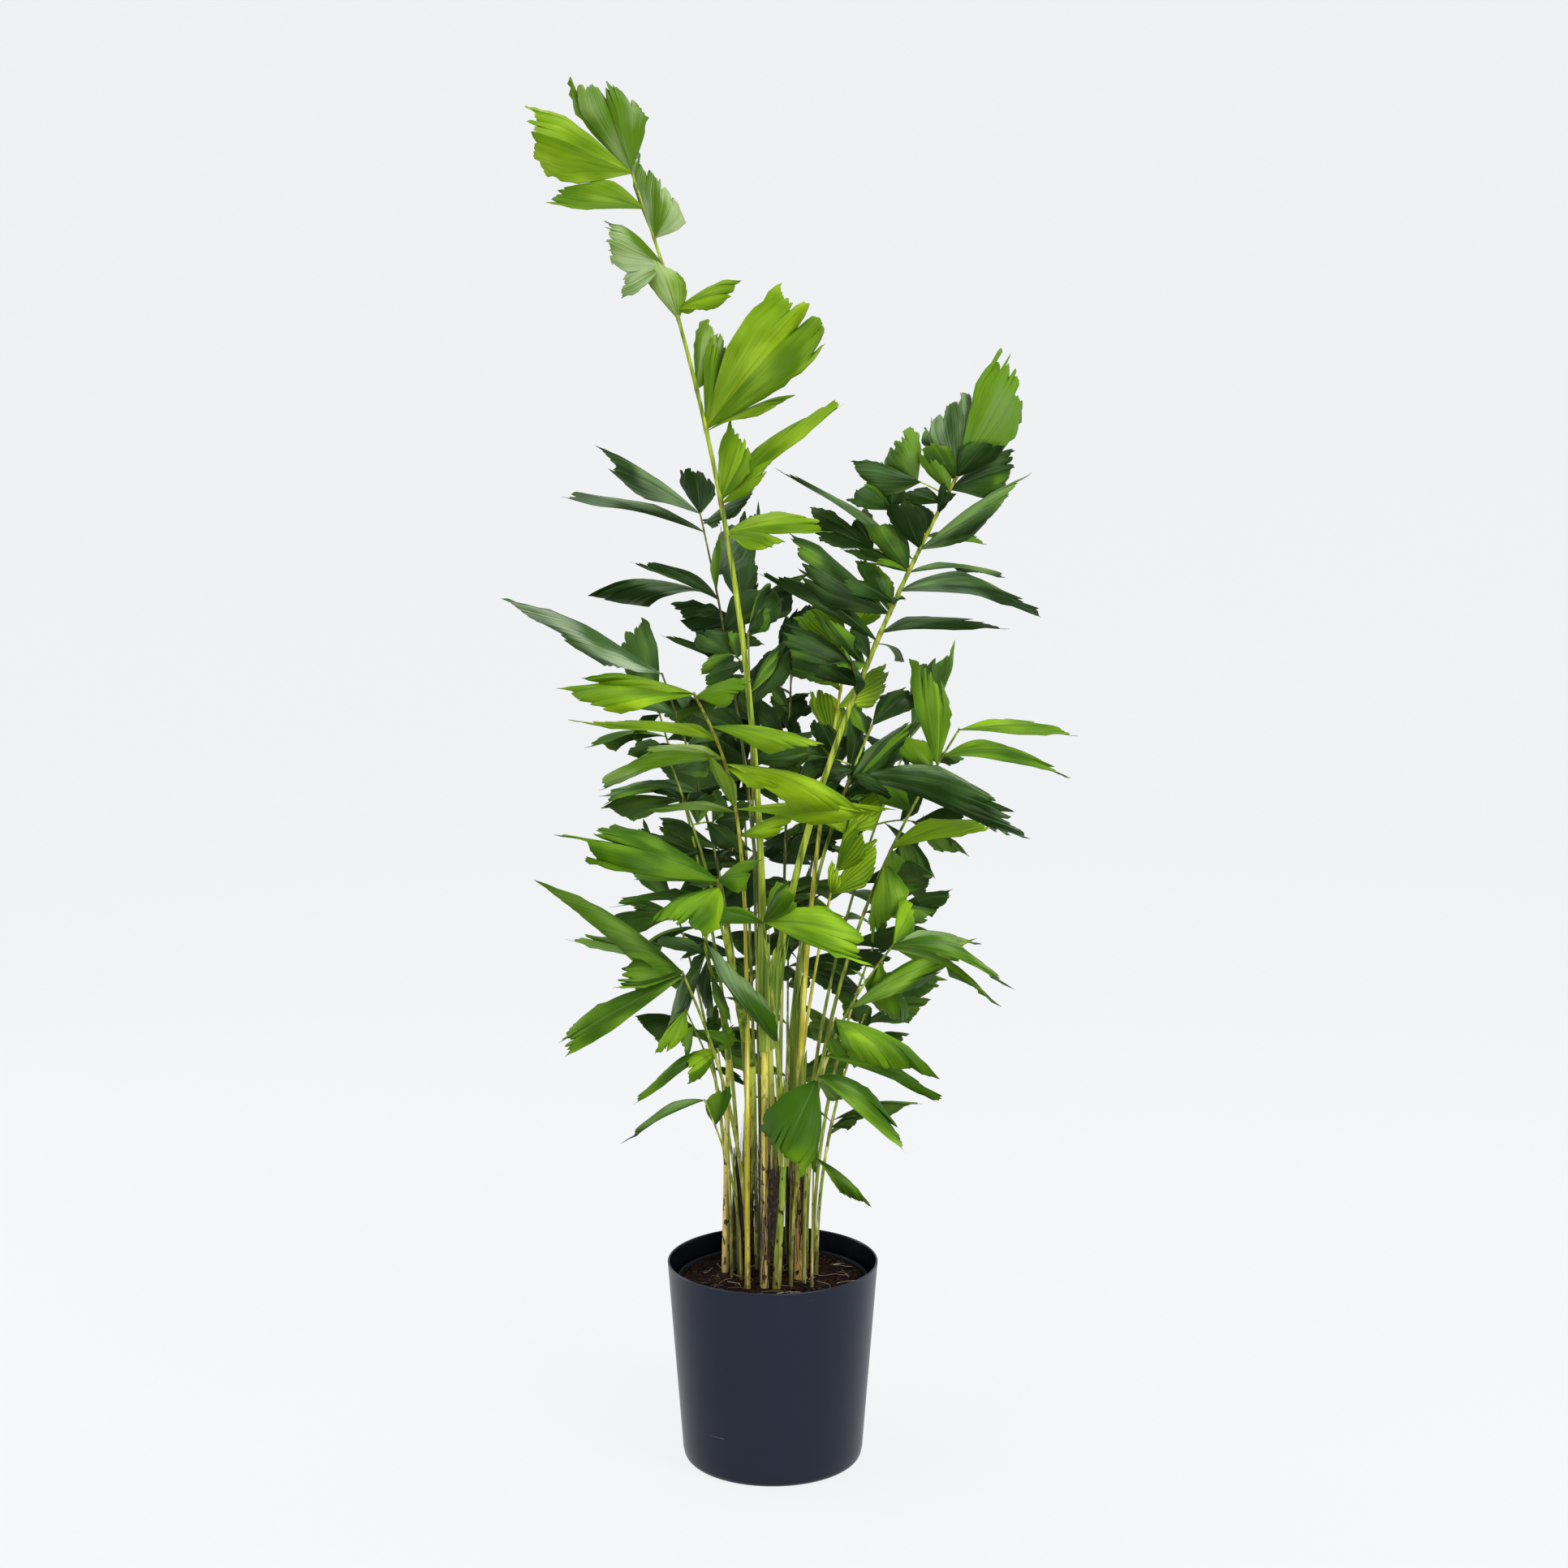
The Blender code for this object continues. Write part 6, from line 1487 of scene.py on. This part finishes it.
# the growing pot's outer radius at a height
def linerRadius(z):
    plan = linerPlan
    span = plan["height"] - potPlan["floor"]
    return plan["footRadius"] + (plan["rimRadius"] - plan["footRadius"]) * (z - potPlan["floor"]) / span


def linerSkin():
    plan = linerPlan
    wall = plan["wall"]
    foot = potPlan["floor"] + clearance
    top = plan["height"]
    lip = top - 0.012
    outer = plan["rimRadius"] + plan["lip"]
    profile = [(0.0, foot), (0.05, foot), (plan["footRadius"] - 0.002, foot)]
    profile += [(plan["footRadius"], foot + 0.002)]
    profile += [(linerRadius(z), z) for z in np.linspace(foot + 0.01, lip, 8)]
    profile += [(linerRadius(lip) + plan["lip"] * 0.8, lip + 0.0006), (outer, lip + 0.003)]
    profile += [(outer, top - 0.0008), (outer - 0.0008, top), (plan["rimRadius"] - wall + 0.0006, top)]
    profile += [(plan["rimRadius"] - wall, top - 0.0008)]
    profile += [(linerRadius(z) - wall, z) for z in np.linspace(top - 0.004, foot + 0.006, 6)]
    profile += [(0.05, foot + wall), (0.0, foot + wall)]
    return turnedSkin(profile, 128)


soilPlan = dict(
    rings=46, sides=150, rough=0.0017, mound=0.0015, edge=0.119, octaves=5, first=55.0, faster=1.75,
)


# the soil's roughness at places on it: waves of several lengths, four headings of each, added up
def roughGround(x, y):
    plan = soilPlan
    dice = np.random.default_rng(3)
    total = np.zeros_like(x)
    for octave in range(plan["octaves"]):
        rate = plan["first"] * plan["faster"] ** octave
        for _ in range(4):
            heading = dice.uniform(0.0, np.pi)
            phase = dice.uniform(0.0, 2.0 * np.pi)
            along = x * math.cos(heading) + y * math.sin(heading)
            total = total + np.sin(rate * along + phase) / (1.5 ** octave)
    return total / 6.0 * plan["rough"]


# the soil: height(radius, angle) = top + a low mound at the middle + rough crumbs, closed underneath
def soilSkin():
    plan = soilPlan
    foot = potPlan["floor"] + 2.0 * clearance + linerPlan["wall"]
    inset = linerPlan["wall"] + clearance * 1.6
    rim = linerRadius(soilTop) - inset - 0.0002
    profile = [(0.0, foot), (linerPlan["footRadius"] - inset, foot), (rim - 0.0002, soilTop - 0.006)]
    profile += [(reach, soilTop) for reach in np.linspace(rim, 0.0015, plan["rings"])] + [(0.0, soilTop)]
    points, faces = turnedSkin(profile, plan["sides"])
    far = np.hypot(points[:, 0], points[:, 1])
    onTop = points[:, 2] > soilTop - 0.001
    swell = plan["mound"] * (1.0 - (far / rim) ** 2)
    edge = np.clip((rim - far) / 0.004, 0.0, 1.0)
    rough = roughGround(points[:, 0], points[:, 1])
    points[:, 2] += np.where(onTop, (rough * edge) + swell - 0.001 * edge, 0.0)
    return points, faces


# painted plastic: a faint cloud, a few scratches, and painted shade that darkens the inner face
def potMaterial(name, dark, light, rough, scuff):
    made, nodes, shader = newMaterial(name)
    cloud = nodes.objectNoise(7.0, detail=3.0)
    scratch = nodes.ramp(nodes.objectNoise(1.0, (9.0, 9.0, 260.0), 2.0, 0.4), 0.66, 0.74)
    patch = nodes.ramp(nodes.objectNoise(17.0, detail=2.0), 0.60, 0.72)
    colour = nodes.blend(nodes.times(cloud, 0.5), dark, light)
    colour = nodes.blend(nodes.times(scratch, nodes.times(patch, scuff)), colour, (0.16, 0.17, 0.20))
    # painted shade: inside the wall the colour is darkened nearly to black, as the inside of a pot falls into
    # shade
    x, y, z = nodes.parts(nodes.objectPlace())
    far = nodes.maths("SQRT", nodes.timesPlus(x, x, nodes.times(y, y)))
    skin = nodes.timesPlus(z, potSlope, potPlan["footRadius"])
    inside = nodes.ramp(nodes.minus(skin, far), 0.0010, 0.0022)
    grain = nodes.objectNoise(900.0, detail=2.0)
    nodes.fill(shader, {
        "Base Color": nodes.blend(nodes.times(inside, 0.85), colour, (0.0012, 0.0018, 0.0025)),
        "Roughness": nodes.timesPlus(cloud, 0.12, rough), "Specular IOR Level": 0.30,
        "Specular Tint": (0.86, 0.93, 1.0), "Normal": nodes.bump(grain, 0.12, 0.0004),
    })
    return made


potPaint = potMaterial("pot_navy_grey", (0.0078, 0.0112, 0.0250), (0.0118, 0.0160, 0.0335), 0.24, 0.5)
linerPaint = potMaterial("growing_pot_dark", (0.010, 0.011, 0.013), (0.020, 0.021, 0.024), 0.50, 0.6)
soilPaint = crumbMaterial("soil", (0.0048, 0.0018, 0.0011), (0.115, 0.042, 0.022), 240.0, 1.0, 0.005, 0.06)
dress("pot_shell", *potSkin(), [potPaint], ["pot"], "outer_pot", sharp=50.0)
dress("growing_pot_shell", *linerSkin(), [linerPaint], ["grow_pot"], "growing_pot", sharp=50.0)
dress("soil_bed", *soilSkin(), [soilPaint], ["soil"], "potting_mix", sharp=80.0)

crumbPlan = dict(count=900, sizes=(0.0008, 0.0030), reach=0.116, sunk=0.0008)
golden = (1.0 + math.sqrt(5.0)) / 2.0
icosaPoints = np.array([
    (-1, golden, 0), (1, golden, 0), (-1, -golden, 0), (1, -golden, 0),
    (0, -1, golden), (0, 1, golden), (0, -1, -golden), (0, 1, -golden),
    (golden, 0, -1), (golden, 0, 1), (-golden, 0, -1), (-golden, 0, 1),
], float)
icosaPoints /= np.linalg.norm(icosaPoints[0])
icosaFaces = np.array([
    (0, 11, 5), (0, 5, 1), (0, 1, 7), (0, 7, 10), (0, 10, 11), (1, 5, 9), (5, 11, 4), (11, 10, 2),
    (10, 7, 6), (7, 1, 8), (3, 9, 4), (3, 4, 2), (3, 2, 6), (3, 6, 8), (3, 8, 9), (4, 9, 5),
    (2, 4, 11), (6, 2, 10), (8, 6, 7), (9, 8, 1),
])


# crumbs on the soil: one 20-faced lump, stretched by its own amounts and spread evenly over the disc
def crumbHeap():
    plan = crumbPlan
    dice = np.random.default_rng(21)
    count = plan["count"]
    size = plan["sizes"][0] + (plan["sizes"][1] - plan["sizes"][0]) * dice.random(count) ** 3
    reach = plan["reach"] * np.sqrt(dice.random(count))
    angle = dice.uniform(0.0, 2.0 * np.pi, count)
    x = reach * np.cos(angle)
    y = reach * np.sin(angle)
    mound = soilPlan["mound"] * (1.0 - (reach / soilPlan["edge"]) ** 2)
    z = soilTop + roughGround(x, y) + mound - plan["sunk"]
    stretch = dice.uniform(0.6, 1.4, (count, 1, 3)) * np.array([1.0, 1.0, 0.7])
    lumps = icosaPoints[None] * stretch * dice.uniform(0.8, 1.2, (count, 12, 1)) * size[:, None, None]
    lumps = lumps + np.stack([x, y, z], -1)[:, None, :]
    faces = icosaFaces[None] + np.arange(count)[:, None, None] * 12
    return lumps.reshape(-1, 3), faces.reshape(-1, 3)


crumbPaint = crumbMaterial("crumbs", (0.018, 0.007, 0.004), (0.130, 0.052, 0.026), 120.0, 0.6, 0.002, 0.10)
dress("soil_crumbs", *crumbHeap(), [crumbPaint], [], "potting_mix", sharp=30.0)

rootPaint = crumbMaterial("roots_pale", (0.30, 0.22, 0.15), (0.62, 0.52, 0.40), 60.0, 0.2, 0.001)
rootShape = dict(steps=10, reach=0.108, edge=0.114, bend=0.28, lift=0.0014, arch=0.0012)
rootPlans = {
    "soil_roots": dict(count=46, seed=31, radius=0.00038, lengths=(0.012, 0.045), paint=rootPaint),
    "soil_fibres": dict(count=160, seed=32, radius=0.0004, lengths=(0.006, 0.022), paint=fibreMaterial),
}


# thin roots that lie on the soil: path = start + heading * distance, bent by a random turn at each step
def rootTubes(plan):
    shape = rootShape
    steps = shape["steps"]
    dice = np.random.default_rng(plan["seed"])
    tubes = []
    for _ in range(plan["count"]):
        reach = shape["reach"] * math.sqrt(dice.random())
        angle = dice.uniform(0.0, 2.0 * np.pi)
        heading = dice.uniform(0.0, 2.0 * np.pi) + np.cumsum(dice.normal(0.0, shape["bend"], steps))
        pace = dice.uniform(*plan["lengths"]) / steps
        x = reach * math.cos(angle) + np.cumsum(np.cos(heading)) * pace
        y = reach * math.sin(angle) + np.cumsum(np.sin(heading)) * pace
        inside = np.minimum(1.0, shape["edge"] / np.maximum(np.hypot(x, y), 1e-6))
        x = x * inside
        y = y * inside
        z = soilTop + roughGround(x, y) + shape["lift"]
        z = z + shape["arch"] * np.sin(np.linspace(0.0, np.pi, steps)) * dice.random()
        tubes.append(tubeGrid(np.stack([x, y, z], -1), plan["radius"] * dice.uniform(0.6, 1.3), 3))
    return joinTubes(tubes)


for rootName, plan in rootPlans.items():
    dress(rootName, *rootTubes(plan), [plan["paint"]], [], "potting_mix")
print("pot and soil dressed")


# stage, lights and camera

stagePlan = dict(
    flat=4.4, bend=1.8, wallTop=2.7, sides=96, paint=(0.05, 0.051, 0.052), glow=0.862, mirrored=0.80,
)


# A pale round studio: a flat floor that bends up into a wall all round.
# reach(t), rise(t) = flat + bend sin t, bend (1 - cos t), carried round the axis; the centre is a pole.
def backdrop():
    plan = stagePlan
    turn = np.linspace(0.0, np.pi / 2.0, 18)[1:]
    reach = np.concatenate([np.linspace(0.4, plan["flat"], 7), plan["flat"] + plan["bend"] * np.sin(turn)])
    rise = np.concatenate([np.zeros(7), plan["bend"] * (1.0 - np.cos(turn))])
    reach = np.append(reach, reach[-1])
    rise = np.append(rise, plan["wallTop"])
    angle = anglesAround(plan["sides"])
    points = [reach[:, None] * np.cos(angle), reach[:, None] * np.sin(angle), rise[:, None] + 0.0 * angle]
    points = np.concatenate([np.stack(points, -1).reshape(-1, 3), [(0.0, 0.0, 0.0)]])
    around = np.arange(plan["sides"])
    centre = np.stack([around, np.roll(around, -1), np.full(plan["sides"], len(points) - 1)], -1)
    faces = gridFaces(len(reach), plan["sides"], around=True)[:, ::-1].tolist() + centre.tolist()
    mesh = makeMesh("backdrop", points, faces)
    paint, nodes, shader = newMaterial("backdrop_pale")
    seen = nodes.add("LightPath", {}).outputs
    mirrored = nodes.times(seen["Is Glossy Ray"], plan["mirrored"])
    glow = nodes.maths("MAXIMUM", seen["Is Camera Ray"], mirrored)
    nodes.fill(shader, {
        "Base Color": plan["paint"], "Roughness": 0.9, "Specular IOR Level": 0.1,
        "Emission Color": (0.965, 0.983, 1.0), "Emission Strength": nodes.times(glow, plan["glow"]),
    })
    mesh.materials.append(paint)
    stage = addObject("backdrop", mesh)


def areaLight(name, place, target, size, power, colour):
    light = bpy.data.lights.new(name, "AREA")
    light.shape = "RECTANGLE"
    light.size = size[0]
    light.size_y = size[1]
    light.energy = power
    light.color = colour
    lamp = addObject(name, light)
    lamp.location = place
    lamp.rotation_euler = (Vector(target) - Vector(place)).to_track_quat("-Z", "Y").to_euler()


backdrop()
areaLight("soft_key", (2.5, -2.5, 3.3), (0.0, 0.0, 0.8), (1.5, 1.5), 120.0, (1.0, 0.99, 0.97))
areaLight("soft_fill", (-3.0, -1.8, 1.6), (0.0, 0.0, 0.8), (1.8, 2.4), 48.0, (0.97, 0.98, 1.0))
areaLight("soft_top", (-0.3, 0.4, 4.3), (0.0, 0.0, 0.8), (2.2, 2.2), 75.0, (1.0, 1.0, 1.0))
areaLight("rim_left", (-2.6, 1.2, 1.0), (0.0, 0.0, 0.7), (0.9, 2.0), 30.0, (0.97, 0.98, 1.0))
areaLight("rim_right", (2.8, 1.0, 1.0), (0.0, 0.0, 0.7), (0.9, 2.0), 16.0, (0.97, 0.98, 1.0))
areaLight("soft_low", (0.7, -2.9, 0.85), (0.0, 0.0, 0.42), (1.3, 0.8), 44.0, (1.0, 0.99, 0.97))


# the world is pale to the camera and dimmer to everything else
def paleWorld():
    world = bpy.data.worlds.new("studio")
    world.use_nodes = True
    nodes = Nodes(world.node_tree)
    seen = nodes.add("LightPath", {}).outputs["Is Camera Ray"]
    strength = nodes.timesPlus(seen, 0.35, 0.55)
    nodes.fill(world.node_tree.nodes["Background"], dict(Color=(0.95, 0.97, 1.0), Strength=strength))
    bpy.context.scene.world = world


paleWorld()
bpy.context.scene.view_settings.view_transform = "Standard"

cameraPlan = dict(
    place=(0.0145, -3.6, 1.480), pitch=9.42, focalPixels=3595.0, imagePixels=1932.0, sensor=36.0,
)
camera = bpy.data.cameras.new("camera")
camera.sensor_width = cameraPlan["sensor"]
camera.lens = cameraPlan["sensor"] * cameraPlan["focalPixels"] / cameraPlan["imagePixels"]
cameraObject = addObject("camera", camera)
cameraObject.location = cameraPlan["place"]
cameraObject.rotation_euler = (math.radians(90.0 - cameraPlan["pitch"]), 0.0, 0.0)
bpy.context.scene.camera = cameraObject
print("stage, lights and camera set")
